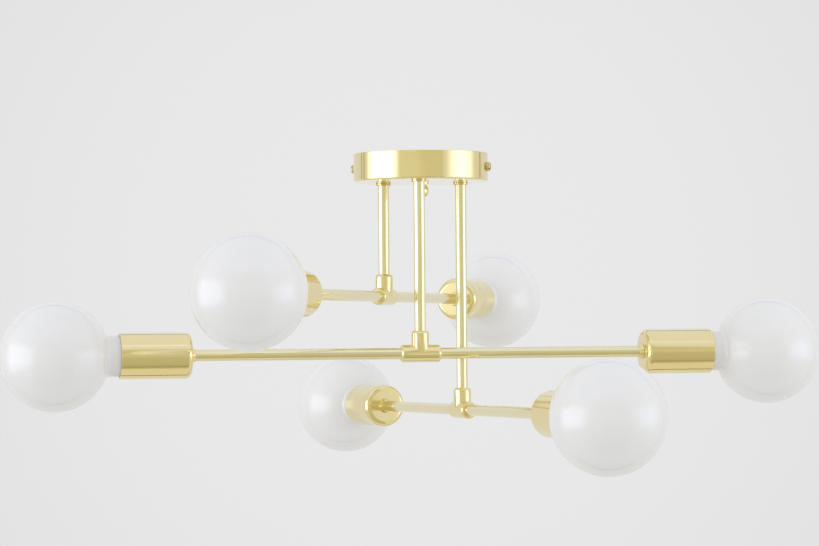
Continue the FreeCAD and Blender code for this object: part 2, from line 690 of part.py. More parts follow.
def build_bushes():
    """Flanged bushes through the canopy's floor and the nuts that clamp them."""
    bushes = []
    bush_nuts = []
    top = f"{BUSH_TOP} + Sizes.canopy_height"
    flange = "Sizes.bush_flange_diameter / 2"
    for tier in TIER_LEVELS:
        body = new_body(f"{tier}_bush")
        corners = [
            (BUSH_BORE, "-Sizes.bush_flange_height"),
            (flange, "-Sizes.bush_flange_height"),
            (flange, ZERO),
            (BUSH_RADIUS, ZERO),
            (BUSH_RADIUS, top),
            (BUSH_BORE, top),
        ]
        add_turned(body, "Bush", corners, "V_Axis")
        stand_on_stem(body, tier, "-Sizes.canopy_height")
        bushes.append(body)
        nut = make_hex_nut(f"{tier}_bush_nut", "Sizes.bush_nut_width", "Sizes.bush_nut_height",
                           BUSH_RADIUS)
        stand_on_stem(nut, tier, FLOOR_HEIGHT)
        bush_nuts.append(nut)
    keep_group("swivel_bushes", bushes)
    keep_group("bush_nuts", bush_nuts)


def build_stem(tier):
    """Stem tube from the tee's socket up through its bush, and the nut that carries it."""
    level = TIER_LEVELS[tier]
    body = new_body(f"{tier}_stem")
    foot = "Sizes.tee_height - Sizes.tee_socket_depth"
    top = f"{level} + {STEM_TOP}"
    corners = [(BORE_RADIUS, foot), (TUBE_RADIUS, foot), (TUBE_RADIUS, top), (BORE_RADIUS, top)]
    add_turned(body, "Tube", corners, "V_Axis")
    stand_on_stem(body, tier, f"-{level}")
    keep(body)
    nut = make_hex_nut(f"{tier}_stem_nut", "Sizes.stem_nut_width", "Sizes.stem_nut_height",
                       TUBE_RADIUS)
    stand_on_stem(nut, tier, STEM_NUT_FOOT)
    keep(nut)


def build_tee(tier):
    """Tee with three round-ended mouths, bored through and counterbored for the tubes."""
    body = new_body(f"{tier}_tee")
    radius = "Sizes.tee_diameter / 2"
    mouth = "Sizes.tee_mouth_diameter / 2"
    half = "Sizes.tee_length / 2"
    height = "Sizes.tee_height"
    end = "Sizes.tee_end_length"
    depth = "Sizes.tee_socket_depth"
    step = f"({radius} - {mouth})"
    rounding = f"({end} ^ 2 + {step} ^ 2) / (2 * {step})"
    barrel = [
        (f"-{half}", ZERO),
        (half, ZERO),
        (half, mouth, (rounding, "left")),
        (f"{half} - {end}", radius),
        (f"-{half} + {end}", radius, (rounding, "left")),
        (f"-{half}", mouth),
    ]
    add_turned(body, "Barrel", barrel, "H_Axis")
    socket = [
        (ZERO, ZERO),
        (radius, ZERO),
        (radius, f"{height} - {end}", (rounding, "left")),
        (mouth, height),
        (ZERO, height),
    ]
    add_turned(body, "StemSocket", socket, "V_Axis")
    arm_bore = [
        (f"-{half}", ZERO),
        (half, ZERO),
        (half, TUBE_RADIUS),
        (f"{half} - {depth}", TUBE_RADIUS),
        (f"{half} - {depth}", BORE_RADIUS),
        (f"-{half} + {depth}", BORE_RADIUS),
        (f"-{half} + {depth}", TUBE_RADIUS),
        (f"-{half}", TUBE_RADIUS),
    ]
    add_turned(body, "ArmBore", arm_bore, "H_Axis", "Groove")
    stem_bore = [
        (ZERO, ZERO),
        (BORE_RADIUS, ZERO),
        (BORE_RADIUS, f"{height} - {depth}"),
        (TUBE_RADIUS, f"{height} - {depth}"),
        (TUBE_RADIUS, height),
        (ZERO, height),
    ]
    add_turned(body, "StemBore", stem_bore, "V_Axis", "Groove")
    stand_on_arm(body, tier, "right")
    keep(body)


def build_arm(tier, side):
    """Arm tube from the tee's socket through the cup's closed end into the lamp holder."""
    start = "Sizes.tee_length / 2 - Sizes.tee_socket_depth"
    body = make_tube(f"{tier}_arm_{side}", start, ARM_END, TUBE_RADIUS, BORE_RADIUS)
    stand_on_arm(body, tier, side)
    keep(body)


def make_collar(tier, side):
    """Tapered trim collar round the arm, against the cup."""
    body = new_body(f"{tier}_collar_{side}")
    thin_end = "Sizes.arm_reach - Sizes.collar_length"
    corners = [
        (thin_end, TUBE_RADIUS),
        ("Sizes.arm_reach", TUBE_RADIUS),
        ("Sizes.arm_reach", "Sizes.collar_diameter / 2"),
        (thin_end, "Sizes.collar_tip_diameter / 2"),
    ]
    add_turned(body, "Collar", corners, "H_Axis")
    stand_on_arm(body, tier, side)
    return body


def build_cup(tier, side):
    """Drawn lamp cup: a hole for the arm in its closed end, open towards the lamp."""
    body = new_body(f"{tier}_cup_{side}")
    corner = "Sizes.cup_corner"
    inner_corner = "(Sizes.cup_corner - Sizes.cup_wall)"
    flat = f"{CUP_RADIUS} - {corner}"
    bend = f"Sizes.arm_reach + {corner}"
    lip = "Sizes.cup_lip"
    corners = [
        ("Sizes.arm_reach", TUBE_RADIUS),
        (CUP_FLOOR, TUBE_RADIUS),
        (CUP_FLOOR, flat, (inner_corner, "right")),
        (bend, CUP_INSIDE),
        (CUP_MOUTH, CUP_INSIDE),
        (CUP_MOUTH, f"{CUP_RADIUS} - {lip}", (lip, "left")),
        (f"{CUP_MOUTH} - {lip}", CUP_RADIUS),
        (bend, CUP_RADIUS, (corner, "left")),
        ("Sizes.arm_reach", flat),
    ]
    add_turned(body, "DrawnCup", corners, "H_Axis")
    stand_on_arm(body, tier, side)
    keep(body)


def build_holder(tier, side):
    """Insulating lamp holder: foot on the cup's floor, wire chamber, and socket."""
    body = new_body(f"{tier}_lamp_holder_{side}")
    foot = "Sizes.holder_foot_diameter / 2"
    foot_end = f"{CUP_FLOOR} + Sizes.holder_foot_length"
    radius = f"({CUP_INSIDE} - Sizes.holder_gap)"
    chamber = "Sizes.holder_chamber_diameter / 2"
    corners = [
        (CUP_FLOOR, TUBE_RADIUS),
        (ARM_END, TUBE_RADIUS),
        (ARM_END, chamber),
        (CHAMBER_END, chamber),
        (CHAMBER_END, ZERO),
        (HOLDER_FLOOR, ZERO),
        (HOLDER_FLOOR, SHELL_OUTSIDE),
        (HOLDER_RIM, SHELL_OUTSIDE),
        (HOLDER_RIM, radius),
        (f"{foot_end} + Sizes.holder_shoulder", radius),
        (foot_end, foot),
        (CUP_FLOOR, foot),
    ]
    add_turned(body, "Holder", corners, "H_Axis")
    stand_on_arm(body, tier, side)
    keep(body)


def make_contacts(tier, side):
    """Screw shell and centre contact of one holder."""
    shell_end = f"{HOLDER_RIM} - Sizes.screw_shell_setback"
    shell = make_tube(f"{tier}_screw_shell_{side}", HOLDER_FLOOR, shell_end, SHELL_OUTSIDE,
                      SHELL_INSIDE)
    contact = new_body(f"{tier}_centre_contact_{side}")
    radius = "Sizes.contact_diameter / 2"
    corners = [(HOLDER_FLOOR, ZERO), (LAMP_TIP, ZERO), (LAMP_TIP, radius), (HOLDER_FLOOR, radius)]
    add_turned(contact, "Contact", corners, "H_Axis")
    for piece in (shell, contact):
        stand_on_arm(piece, tier, side)
    return [shell, contact]


def make_lamp_base(tier, side):
    """Metal base of a lamp: contact at the tip, cone, and a shell over its thread."""
    body = new_body(f"{tier}_lamp_base_{side}")
    radius = "Sizes.base_diameter / 2"
    inside = f"({radius} - Sizes.base_wall)"
    tip = "Sizes.base_tip_diameter / 2"
    corners = [
        (LAMP_TIP, ZERO),
        (f"{LAMP_TIP} + Sizes.base_floor", ZERO),
        (f"{LAMP_TIP} + Sizes.base_floor", inside),
        (BASE_RIM, inside),
        (BASE_RIM, radius),
        (f"{LAMP_TIP} + Sizes.base_cone_length", radius),
        (f"{LAMP_TIP} + Sizes.base_tip_height", tip),
        (LAMP_TIP, tip),
    ]
    add_turned(body, "Base", corners, "H_Axis")
    stand_on_arm(body, tier, side)
    return body


def build_globe(tier, side):
    """Lamp envelope: neck seated in the base, flare, blend and globe, one wall thick."""
    body = new_body(f"{tier}_globe_{side}")
    wall = "Sizes.globe_wall"
    seat = f"{BASE_RIM} - Sizes.base_seat"
    seat_radius = "(Sizes.base_diameter / 2 - Sizes.base_wall)"
    neck = "Sizes.neck_diameter / 2"
    flare_end = f"{BASE_RIM} + Sizes.neck_flare"
    globe = "(Sizes.globe_diameter / 2)"
    globe_inside = f"({globe} - {wall})"
    blend = "Sizes.neck_blend"
    blend_place = f"({BASE_RIM} + Sizes.neck_length)"
    blend_height = f"({neck} + {blend})"
    centre_distance = f"({globe} + {blend})"
    reach = f"sqrt({centre_distance} ^ 2 - {blend_height} ^ 2)"
    centre = f"({blend_place} + {reach})"

    def on_sphere(radius):
        """The place where the blend meets a sphere of this radius."""
        share = f"({radius}) / {centre_distance}"
        return f"{centre} - {reach} * {share}", f"{blend_height} * {share}"

    corners = [
        (seat, f"{seat_radius} - {wall}"),
        (BASE_RIM, f"{seat_radius} - {wall}"),
        (flare_end, f"{neck} - {wall}"),
        (blend_place, f"{neck} - {wall}", (f"{blend} + {wall}", "left")),
        on_sphere(globe_inside) + ((globe_inside, "right"),),
        (f"{centre} + {globe_inside}", ZERO),
        (f"{centre} + {globe}", ZERO, (globe, "left")),
        on_sphere(globe) + ((blend, "right"),),
        (blend_place, neck),
        (flare_end, neck),
        (BASE_RIM, seat_radius),
        (seat, seat_radius),
    ]
    add_turned(body, "Envelope", corners, "H_Axis")
    stand_on_arm(body, tier, side)
    keep(body)


def make_light_board(tier, side):
    """Light board across the lamp's neck, on the driver that stands in the base."""
    body = new_body(f"{tier}_lamp_led_{side}")
    foot = f"{LAMP_TIP} + Sizes.base_floor"
    board = f"{BASE_RIM} + Sizes.neck_flare"
    edge = "Sizes.neck_diameter / 2 - Sizes.globe_wall - Sizes.board_gap"
    driver = "Sizes.driver_diameter / 2"
    corners = [
        (foot, ZERO),
        (f"{board} + Sizes.board_thickness", ZERO),
        (f"{board} + Sizes.board_thickness", edge),
        (board, edge),
        (board, driver),
        (foot, driver),
    ]
    add_turned(body, "Board", corners, "H_Axis")
    stand_on_arm(body, tier, side)
    return body


def build_wiring(tier):
    """Cable down the stem's axis and along both arms to the lamp holders' wire chambers."""
    body = new_body(f"{tier}_wiring")
    centre = [(ZERO, ZERO)]
    height = f"{TIER_LEVELS[tier]} + {WIRING_TOP}"
    add_circle_pad(body, "StemCable", "XY_Plane", centre, "Sizes.stem_cable_diameter / 2", height,
                   "Up")
    add_circle_pad(body, "ArmCable", "YZ_Plane", centre, "Sizes.arm_cable_diameter / 2",
                   f"2 * {CHAMBER_END}", "Symmetric")
    stand_on_arm(body, tier, "right")
    keep(body)


def build_tier(tier):
    """One stem with its tee, arms, cups, holders, lamps and wiring."""
    build_stem(tier)
    build_tee(tier)
    for side in SIDE_TURNS:
        build_arm(tier, side)
        build_cup(tier, side)
        build_holder(tier, side)
        build_globe(tier, side)
    keep_group(f"{tier}_arm_collars", [make_collar(tier, side) for side in SIDE_TURNS])
    contacts = [piece for side in SIDE_TURNS for piece in make_contacts(tier, side)]
    keep_group(f"{tier}_holder_contacts", contacts)
    keep_group(f"{tier}_lamp_bases", [make_lamp_base(tier, side) for side in SIDE_TURNS])
    keep_group(f"{tier}_lamp_leds", [make_light_board(tier, side) for side in SIDE_TURNS])
    build_wiring(tier)


def check_document():
    """Stop if an object failed, a sketch is loose or a node's shape is not valid."""
    for item in doc.Objects:
        if "Invalid" in item.State or "Error" in item.State:
            raise ValueError(f"{item.Label} failed: {item.getStatusString()}")
        if item.TypeId == "Sketcher::SketchObject" and not item.FullyConstrained:
            raise ValueError(f"{item.Label} is not fully constrained")
    for item in nodes:
        if item.Shape.isNull() or not item.Shape.isValid() or not item.Shape.Solids:
            raise ValueError(f"{item.Label} has no valid solid")


build_canopy()
build_finial()
build_bracket()
build_side_screws()
build_terminal_block()
build_terminal_inserts()
build_bracket_screws()
build_bushes()
for tier_name in TIER_LEVELS:
    build_tier(tier_name)
doc.recompute()
build_canopy_wiring()
doc.recompute()
check_document()

os.makedirs("parts", exist_ok=True)
for item in nodes:
    item.Shape.exportStep(f"parts/{item.Label}.step")
print(f"{len(nodes)} nodes, {sum(len(item.Shape.Solids) for item in nodes)} solids")
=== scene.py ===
"""Looks of a three-tier sputnik ceiling light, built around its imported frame.

Sizes in this file are in millimetres and meshes are in metres. The origin is the centre of the
canopy's rim, on the ceiling, and +Z points up. What sits on an arm is modelled along +X from its
stem's axis; each copy is then turned about the vertical and moved onto its own arm.
"""

import logging
import math
from collections.abc import Callable, Sequence
from dataclasses import dataclass, field
from enum import Enum

import bpy
from mathutils import Matrix, Vector

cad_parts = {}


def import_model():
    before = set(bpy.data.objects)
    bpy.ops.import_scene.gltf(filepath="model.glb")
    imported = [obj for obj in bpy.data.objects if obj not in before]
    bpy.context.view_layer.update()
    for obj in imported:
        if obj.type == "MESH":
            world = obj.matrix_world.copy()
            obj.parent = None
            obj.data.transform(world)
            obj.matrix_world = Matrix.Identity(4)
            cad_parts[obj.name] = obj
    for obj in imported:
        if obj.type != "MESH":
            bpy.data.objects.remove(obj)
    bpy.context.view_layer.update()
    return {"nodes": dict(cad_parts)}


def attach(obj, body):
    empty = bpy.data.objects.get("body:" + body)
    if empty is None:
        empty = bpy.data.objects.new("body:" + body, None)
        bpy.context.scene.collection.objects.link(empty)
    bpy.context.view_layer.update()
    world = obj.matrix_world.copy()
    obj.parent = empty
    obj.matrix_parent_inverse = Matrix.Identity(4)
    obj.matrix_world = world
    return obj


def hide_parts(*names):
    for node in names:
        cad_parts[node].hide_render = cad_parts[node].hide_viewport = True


LOG = logging.getLogger("sputnik_light")

MM = 0.001
MERGE_DISTANCE = 1e-6
HOLDING_DISTANCE = 0.08
HOLDING_SHARE = 0.25
LEAST_BEND = 1.0
DEGREES_PER_ARC_STEP = 9.0
LEAST_ARC_STEPS = 3
TURN_STEPS = 96
TUBE_STEPS = 64
HOLE_STEPS = 48
BEVEL_STEPS = 2
BEVEL_ANGLE = 40.0
FLAT_ANGLE = 0.5
SMOOTH_ANGLE = 32.0
BROKEN_EDGE = 0.15
OFF_AXIS = 1.0
TURNED_IN = -0.05
TURNED_OVER = 0.5

CEILING = "ceiling_mount"
STEM_CIRCLE = 40.0
STEM_ANGLES = {"upper": 160.0, "middle": 280.0, "lower": 40.0}

Colour = tuple[float, float, float]
Place = tuple[float, float, float]
Tones = tuple[tuple[float, Colour], ...]


class Axis(Enum):
    """The axis that an outline is turned about."""

    ALONG = (1.0, 0.0, 0.0)
    UP = (0.0, 0.0, 1.0)


class Side(Enum):
    """The two arms of a tier, each with its turn from the tier's direction."""

    LEFT = 180.0
    RIGHT = 0.0


class Cut(Enum):
    """What a tool solid does to a piece."""

    TAKE_AWAY = "DIFFERENCE"
    ADD = "UNION"


# ------------------------------------ Modelling helpers ------------------------------------


def select_only(*pieces: bpy.types.Object) -> None:
    """Select these objects and nothing else, and make the first one active.

    Args:
        pieces: The objects to select; with none, everything is deselected.
    """
    if bpy.context.object and bpy.context.object.mode != "OBJECT":
        bpy.ops.object.mode_set(mode="OBJECT")
    bpy.ops.object.select_all(action="DESELECT")
    for piece in pieces:
        piece.select_set(True)
    if pieces:
        bpy.context.view_layer.objects.active = pieces[0]


def give_name(piece: bpy.types.Object, name: str) -> None:
    """Name an object and its mesh."""
    piece.name = name
    piece.data.name = name


def in_plane(across: float, up: float) -> Vector:
    """A point of the XZ plane in metres, from millimetres."""
    return Vector((across * MM, 0.0, up * MM))


@dataclass(frozen=True)
class Corner:
    """A corner of an outline, in millimetres across and up, rounded by a radius."""

    across: float
    up: float
    radius: float = 0.0

    @property
    def place(self) -> Vector:
        """The corner as a point of the XZ plane."""
        return in_plane(self.across, self.up)


@dataclass(frozen=True)
class Bend:
    """The arc that rounds a corner, or the corner itself where it is left sharp."""

    start: Vector
    end: Vector
    centre: Vector
    degrees: float


def round_off(before: Corner, corner: Corner, after: Corner) -> Bend:
    """Work out the arc that rounds a corner.

    Args:
        before: The corner before it.
        corner: The corner to round.
        after: The corner after it.

    Returns:
        The arc's ends and centre, and how far it turns from +X towards +Z.
    """
    arriving = (corner.place - before.place).normalized()
    leaving = (after.place - corner.place).normalized()
    cross = arriving.x * leaving.z - arriving.z * leaving.x
    turn = math.atan2(cross, arriving.dot(leaving))
    if corner.radius == 0.0 or abs(turn) < math.radians(LEAST_BEND):
        return Bend(corner.place, corner.place, corner.place, 0.0)
    reach = corner.radius * MM * math.tan(abs(turn) / 2)
    start = corner.place - arriving * reach
    end = corner.place + leaving * reach
    left = Vector((-arriving.z, 0.0, arriving.x))
    centre = start + left * math.copysign(corner.radius * MM, turn)
    return Bend(start, end, centre, math.degrees(turn))


class Pen:
    """Draws an outline in the XZ plane from one vertex, and turns it into a solid."""

    def __init__(self, name: str, start: Vector) -> None:
        """Start a piece with a single vertex.

        Args:
            name: The piece's name.
            start: Where the outline begins.
        """
        select_only()
        bpy.ops.mesh.primitive_plane_add(size=MM, location=(0.0, 0.0, 0.0))
        self.piece = bpy.context.active_object
        give_name(self.piece, name)
        bpy.ops.object.mode_set(mode="EDIT")
        bpy.ops.mesh.select_mode(type="VERT")
        bpy.ops.mesh.select_all(action="SELECT")
        bpy.ops.mesh.merge(type="CENTER")
        bpy.ops.transform.translate(value=start)
        self.place = start.copy()

    def _extrude_to(self, point: Vector) -> None:
        """Extrude the newest vertex to a point."""
        bpy.ops.mesh.extrude_vertices_move(
            MESH_OT_extrude_verts_indiv={"mirror": False},
            TRANSFORM_OT_translate={"value": point - self.place, "orient_type": "GLOBAL"},
        )
        self.place = point.copy()

    def line(self, across: float, up: float) -> None:
        """Draw a straight run, with a holding point close to each end of a long one.

        Args:
            across: Where the run ends, in millimetres.
            up: How high it ends, in millimetres.
        """
        start, end = self.place.copy(), in_plane(across, up)
        run = end - start
        if run.length < MERGE_DISTANCE:
            return
        hold = HOLDING_DISTANCE * MM / run.length
        if hold < HOLDING_SHARE:
            self._extrude_to(start + run * hold)
            self._extrude_to(start + run * (1.0 - hold))
        self._extrude_to(end)

    def arc(self, across: float, up: float, degrees: float, steps: int = 0) -> None:
        """Spin the newest vertex round a centre.

        Args:
            across: The centre's place across, in millimetres.
            up: The centre's height, in millimetres.
            degrees: How far it turns, positive from +X towards +Z.
            steps: Edges in the arc, or none for as many as its turn needs.
        """
        centre = in_plane(across, up)
        needed = max(LEAST_ARC_STEPS, math.ceil(abs(degrees) / DEGREES_PER_ARC_STEP))
        bpy.ops.mesh.spin(
            steps=steps or needed,
            angle=math.radians(degrees),
            center=centre,
            axis=(0.0, 1.0, 0.0),
        )
        turn = Matrix.Rotation(math.radians(-degrees), 3, "Y")
        self.place = centre + turn @ (self.place - centre)

    def turn(self, axis: Axis, steps: int = TURN_STEPS) -> bpy.types.Object:
        """Turn the outline fully about an axis and close its seam and poles.

        Args:
            axis: The axis through the origin.
            steps: How many faces go round.

        Returns:
            The finished solid.
        """
        bpy.ops.mesh.select_all(action="SELECT")
        bpy.ops.mesh.spin(steps=steps, angle=math.tau, center=(0.0, 0.0, 0.0), axis=axis.value)
        bpy.ops.mesh.select_all(action="SELECT")
        bpy.ops.mesh.remove_doubles(threshold=MERGE_DISTANCE)
        bpy.ops.mesh.normals_make_consistent(inside=False)
        bpy.ops.object.mode_set(mode="OBJECT")
        mark_lathe(self.piece, axis)
        return self.piece


def store(piece: bpy.types.Object, name: str, values: Sequence[float]) -> None:
    """Keep one number for each of a piece's points, under a name that materials read."""
    attribute = piece.data.attributes.new(name, "FLOAT", "POINT")
    attribute.data.foreach_set("value", values)


def mark_lathe(piece: bpy.types.Object, axis: Axis) -> None:
    """Store how far each point lies along the turned surface, for marks that run round it.

    Args:
        piece: A turned solid, still about its own axis.
        axis: That axis.
    """
    direction = Vector(axis.value)
    values = []
    for vertex in piece.data.vertices:
        along = vertex.co.dot(direction)
        out = (vertex.co - direction * along).length
        values.append((along + out) / MM)
    store(piece, "lathe", values)


def turned(
    name: str, corners: Sequence[Corner], axis: Axis, steps: int = TURN_STEPS
) -> bpy.types.Object:
    """Turn a closed outline of rounded corners into a solid.

    Args:
        name: The piece's name.
        corners: The outline's corners in order.
        axis: The axis through the origin.
        steps: How many faces go round.

    Returns:
        The solid.
    """
    count = len(corners)
    bends = [
        round_off(corners[index - 1], corner, corners[(index + 1) % count])
        for index, corner in enumerate(corners)
    ]
    pen = Pen(name, bends[0].end)
    for bend in bends[1:] + bends[:1]:
        pen.line(bend.start.x / MM, bend.start.z / MM)
        if bend.degrees:
            pen.arc(bend.centre.x / MM, bend.centre.z / MM, bend.degrees)
    return pen.turn(axis, steps)


def copied(
    piece: bpy.types.Object, name: str, turn: float = 0.0, place: Place = (0.0, 0.0, 0.0)
) -> bpy.types.Object:
    """Copy a piece with its own mesh, turn it about the vertical and move it.

    Args:
        piece: The piece to copy.
        name: The copy's name.
        turn: The turn in degrees.
        place: Where its origin goes, in millimetres.

    Returns:
        The copy, with its place in its mesh.
    """
    select_only(piece)
    bpy.ops.object.duplicate(linked=False)
    copy = bpy.context.active_object
    give_name(copy, name)
    copy.rotation_euler = (0.0, 0.0, math.radians(turn))
    copy.location = Vector(place) * MM
    bpy.ops.object.transform_apply(location=True, rotation=True, scale=True)
    return copy


def discard(*pieces: bpy.types.Object) -> None:
    """Remove objects that only served to make others."""
    for piece in pieces:
        bpy.data.objects.remove(piece)


def cut(piece: bpy.types.Object, tool: bpy.types.Object, how: Cut = Cut.TAKE_AWAY) -> None:
    """Apply a tool solid to a piece, and remove the tool.

    Args:
        piece: The piece that changes.
        tool: The tool solid.
        how: What the tool does.
    """
    modifier = piece.modifiers.new("Tool", "BOOLEAN")
    modifier.operation = how.value
    modifier.solver = "EXACT"
    modifier.object = tool
    select_only(piece)
    bpy.ops.object.modifier_apply(modifier=modifier.name)
    discard(tool)


def joined(name: str, pieces: Sequence[bpy.types.Object]) -> bpy.types.Object:
    """Join pieces into one object.

    Args:
        name: The joined object's name.
        pieces: The pieces.

    Returns:
        The joined object.
    """
    select_only(*pieces)
    bpy.ops.object.join()
    give_name(pieces[0], name)
    return pieces[0]


def smooth(piece: bpy.types.Object) -> bpy.types.Object:
    """Shade a piece smooth, apart from its sharp edges.

    Args:
        piece: The piece.

    Returns:
        The same piece.
    """
    select_only(piece)
    bpy.ops.object.shade_smooth_by_angle(angle=math.radians(SMOOTH_ANGLE))
    return piece


def plug(radius: float, low: float, high: float, place: Place) -> bpy.types.Object:
    """Make an upright round tool solid.

    Args:
        radius: Its radius.
        low: Its lower end, above the place.
        high: Its upper end, above the place.
        place: The foot of its axis, in millimetres.

    Returns:
        The tool solid.
    """
    corners = [Corner(0.0, low), Corner(radius, low), Corner(radius, high), Corner(0.0, high)]
    made = turned("plug", corners, Axis.UP, HOLE_STEPS)
    tool = copied(made, "plug_placed", place=place)
    discard(made)
    return tool


def paint(piece: bpy.types.Object, index: int, wanted: Callable[[Vector, Vector], bool]) -> None:
    """Give one of a piece's materials to the faces that a test picks.

    Args:
        piece: The piece.
        index: The material's place in its list.
        wanted: Takes a face's centre in millimetres and its normal.
    """
    for face in piece.data.polygons:
        if wanted(face.center / MM, face.normal):
            face.material_index = index


def faces_in(out: Vector, normal: Vector) -> bool:
    """True for a face that looks back at the axis that it stands off from."""
    return out.length > OFF_AXIS and out.normalized().dot(normal) < TURNED_IN


def refined(node: str, bevel: float) -> bpy.types.Object:
    """Copy a CAD node's mesh, merge it, and break its sharp edges.

    Args:
        node: The CAD node.
        bevel: The width of the broken edges, or 0 to leave them.

    Returns:
        The new piece.
    """
    source = bpy.data.objects[node]
    piece = bpy.data.objects.new(f"{node}_visual", source.data.copy())
    bpy.context.scene.collection.objects.link(piece)
    piece.data.name = piece.name
    piece.data.materials.clear()
    select_only(piece)
    bpy.ops.object.mode_set(mode="EDIT")
    bpy.ops.mesh.select_all(action="SELECT")
    bpy.ops.mesh.remove_doubles(threshold=MERGE_DISTANCE)
    bpy.ops.mesh.customdata_custom_splitnormals_clear()
    bpy.ops.mesh.dissolve_limited(angle_limit=math.radians(FLAT_ANGLE))
    bpy.ops.object.mode_set(mode="OBJECT")
    if bevel:
        modifier = piece.modifiers.new("Edges", "BEVEL")
        modifier.width = bevel * MM
        modifier.segments = BEVEL_STEPS
        modifier.limit_method = "ANGLE"
        modifier.angle_limit = math.radians(BEVEL_ANGLE)
        modifier.harden_normals = False
        bpy.ops.object.modifier_apply(modifier=modifier.name)
    return smooth(piece)


# -------------------------------------- Shader helpers --------------------------------------

# Sockets of a Mix node for colours, which share their names with those for other types.
MIX_FACTOR = 0
MIX_FIRST = 6
MIX_SECOND = 7
MIX_RESULT = 2

# A bump's height is in metres, so a depth in thousandths of a millimetre is scaled twice.
DEPTH_UNIT = MM * MM


class Graph:
    """Adds and joins the nodes of a material, a world or a group."""

    def __init__(self, tree: bpy.types.NodeTree) -> None:
        """Start from an empty tree."""
        self.tree = tree
        tree.nodes.clear()

    def feed(self, node: bpy.types.Node, inputs: dict) -> None:
        """Join a node's inputs to sockets, or set their values.

        Args:
            node: The node.
            inputs: A socket or a value for each input, by its name or its number.
        """
        for name, value in inputs.items():
            socket = node.inputs[name]
            if isinstance(value, bpy.types.NodeSocket):
                self.tree.links.new(value, socket)
            elif isinstance(value, tuple) and len(value) == 3 and socket.type == "RGBA":
                socket.default_value = (*value, 1.0)
            else:
                socket.default_value = value

    def add(self, kind: str, inputs: dict | None = None, **settings: object) -> bpy.types.Node:
        """Add a node.

        Args:
            kind: The node's type, without its usual prefix.
            inputs: Values or sockets for its inputs.
            settings: Values for its own properties.

        Returns:
            The node.
        """
        node = self.tree.nodes.new(kind if kind.startswith("Node") else f"ShaderNode{kind}")
        for name, value in settings.items():
            setattr(node, name, value)
        self.feed(node, inputs or {})
        return node

    def math(self, operation: str, first: object, second: object = 0.5) -> bpy.types.NodeSocket:
        """The result of a Math node."""
        return self.add("Math", {0: first, 1: second}, operation=operation).outputs[0]

    def spread(
        self, value: object, low: float, high: float, first: float = 0.0, last: float = 1.0
    ) -> bpy.types.NodeSocket:
        """Map a range of values onto another one, softly and clamped.

        Args:
            value: What is mapped.
            low: Where the range starts.
            high: Where it ends.
            first: What its start becomes.
            last: What its end becomes.

        Returns:
            The mapped value's socket.
        """
        span = {"From Min": low, "From Max": high, "To Min": first, "To Max": last}
        inputs = {"Value": value, **span}
        return self.add("MapRange", inputs, interpolation_type="SMOOTHSTEP").outputs[0]

    def blend(self, factor: object, first: object, second: object) -> bpy.types.NodeSocket:
        """The colour between two colours."""
        inputs = {MIX_FACTOR: factor, MIX_FIRST: first, MIX_SECOND: second}
        return self.add("Mix", inputs, data_type="RGBA").outputs[MIX_RESULT]

    def noise(
        self, where: object, scale: object, detail: float = 3.0, one_way: bool = False
    ) -> bpy.types.NodeSocket:
        """The value of a noise texture.

        Args:
            where: The place that it reads, a vector, or a number where it runs one way.
            scale: Its scale.
            detail: Its detail.
            one_way: True for noise that changes along one direction only.

        Returns:
            The noise's socket.
        """
        kind = "1D" if one_way else "3D"
        place = {"W" if one_way else "Vector": where, "Scale": scale, "Detail": detail}
        return self.add("TexNoise", place, noise_dimensions=kind).outputs["Fac"]

    def place(self) -> bpy.types.NodeSocket:
        """The place on the object, in its own coordinates."""
        return self.add("TexCoord").outputs["Object"]

    def group(self, group: bpy.types.NodeTree, **values: float) -> bpy.types.bpy_prop_collection:
        """The outputs of a shader group that is placed with its own values."""
        return self.add("Group", values, node_tree=group).outputs

    def relief(self, height: bpy.types.NodeSocket) -> bpy.types.NodeSocket:
        """The normal of a surface with this height."""
        inputs = {"Strength": 1.0, "Distance": 1.0, "Height": height}
        return self.add("Bump", inputs).outputs[0]

    def looked_at(self) -> bpy.types.NodeSocket:
        """A socket for rays that show a thing, and not for those that carry its light.

        Returns:
            1 for a camera, glossy or transmission ray, and 0 for the others.
        """
        rays = self.add("LightPath").outputs
        seen = self.math("MAXIMUM", rays["Is Camera Ray"], rays["Is Glossy Ray"])
        return self.math("MAXIMUM", seen, rays["Is Transmission Ray"])

    def show(self, output: str, share: object, first: object, second: object) -> None:
        """Mix two shaders by the second one's share, and join them to an output node."""
        mixed = self.add("MixShader", {0: share, 1: first, 2: second})
        self.add(output, {"Surface": mixed.outputs[0]})


def new_material(name: str) -> tuple[bpy.types.Material, Graph]:
    """Make an empty material.

    Args:
        name: The material's name.

    Returns:
        The material and its graph.
    """
    material = bpy.data.materials.new(name)
    material.use_nodes = True
    return material, Graph(material.node_tree)


class GroupGraph(Graph):
    """The graph of a new shader group, whose sockets are all numbers."""

    def __init__(self, name: str, ins: dict[str, float], outs: Sequence[str]) -> None:
        """Make the group with its sockets.

        Args:
            name: The group's name.
            ins: Each input's default.
            outs: The outputs.
        """
        super().__init__(bpy.data.node_groups.new(name, "ShaderNodeTree"))
        face, kind = self.tree.interface, "NodeSocketFloat"
        for label, default in ins.items():
            socket = face.new_socket(label, in_out="INPUT", socket_type=kind)
            socket.default_value = default
        for label in outs:
            face.new_socket(label, in_out="OUTPUT", socket_type=kind)
        self.entry = self.add("NodeGroupInput").outputs
        self.leave = self.add("NodeGroupOutput")

    def finish(self, **results: bpy.types.NodeSocket) -> bpy.types.NodeTree:
        """Join the group's outputs, and give the group."""
        self.feed(self.leave, results)
        return self.tree


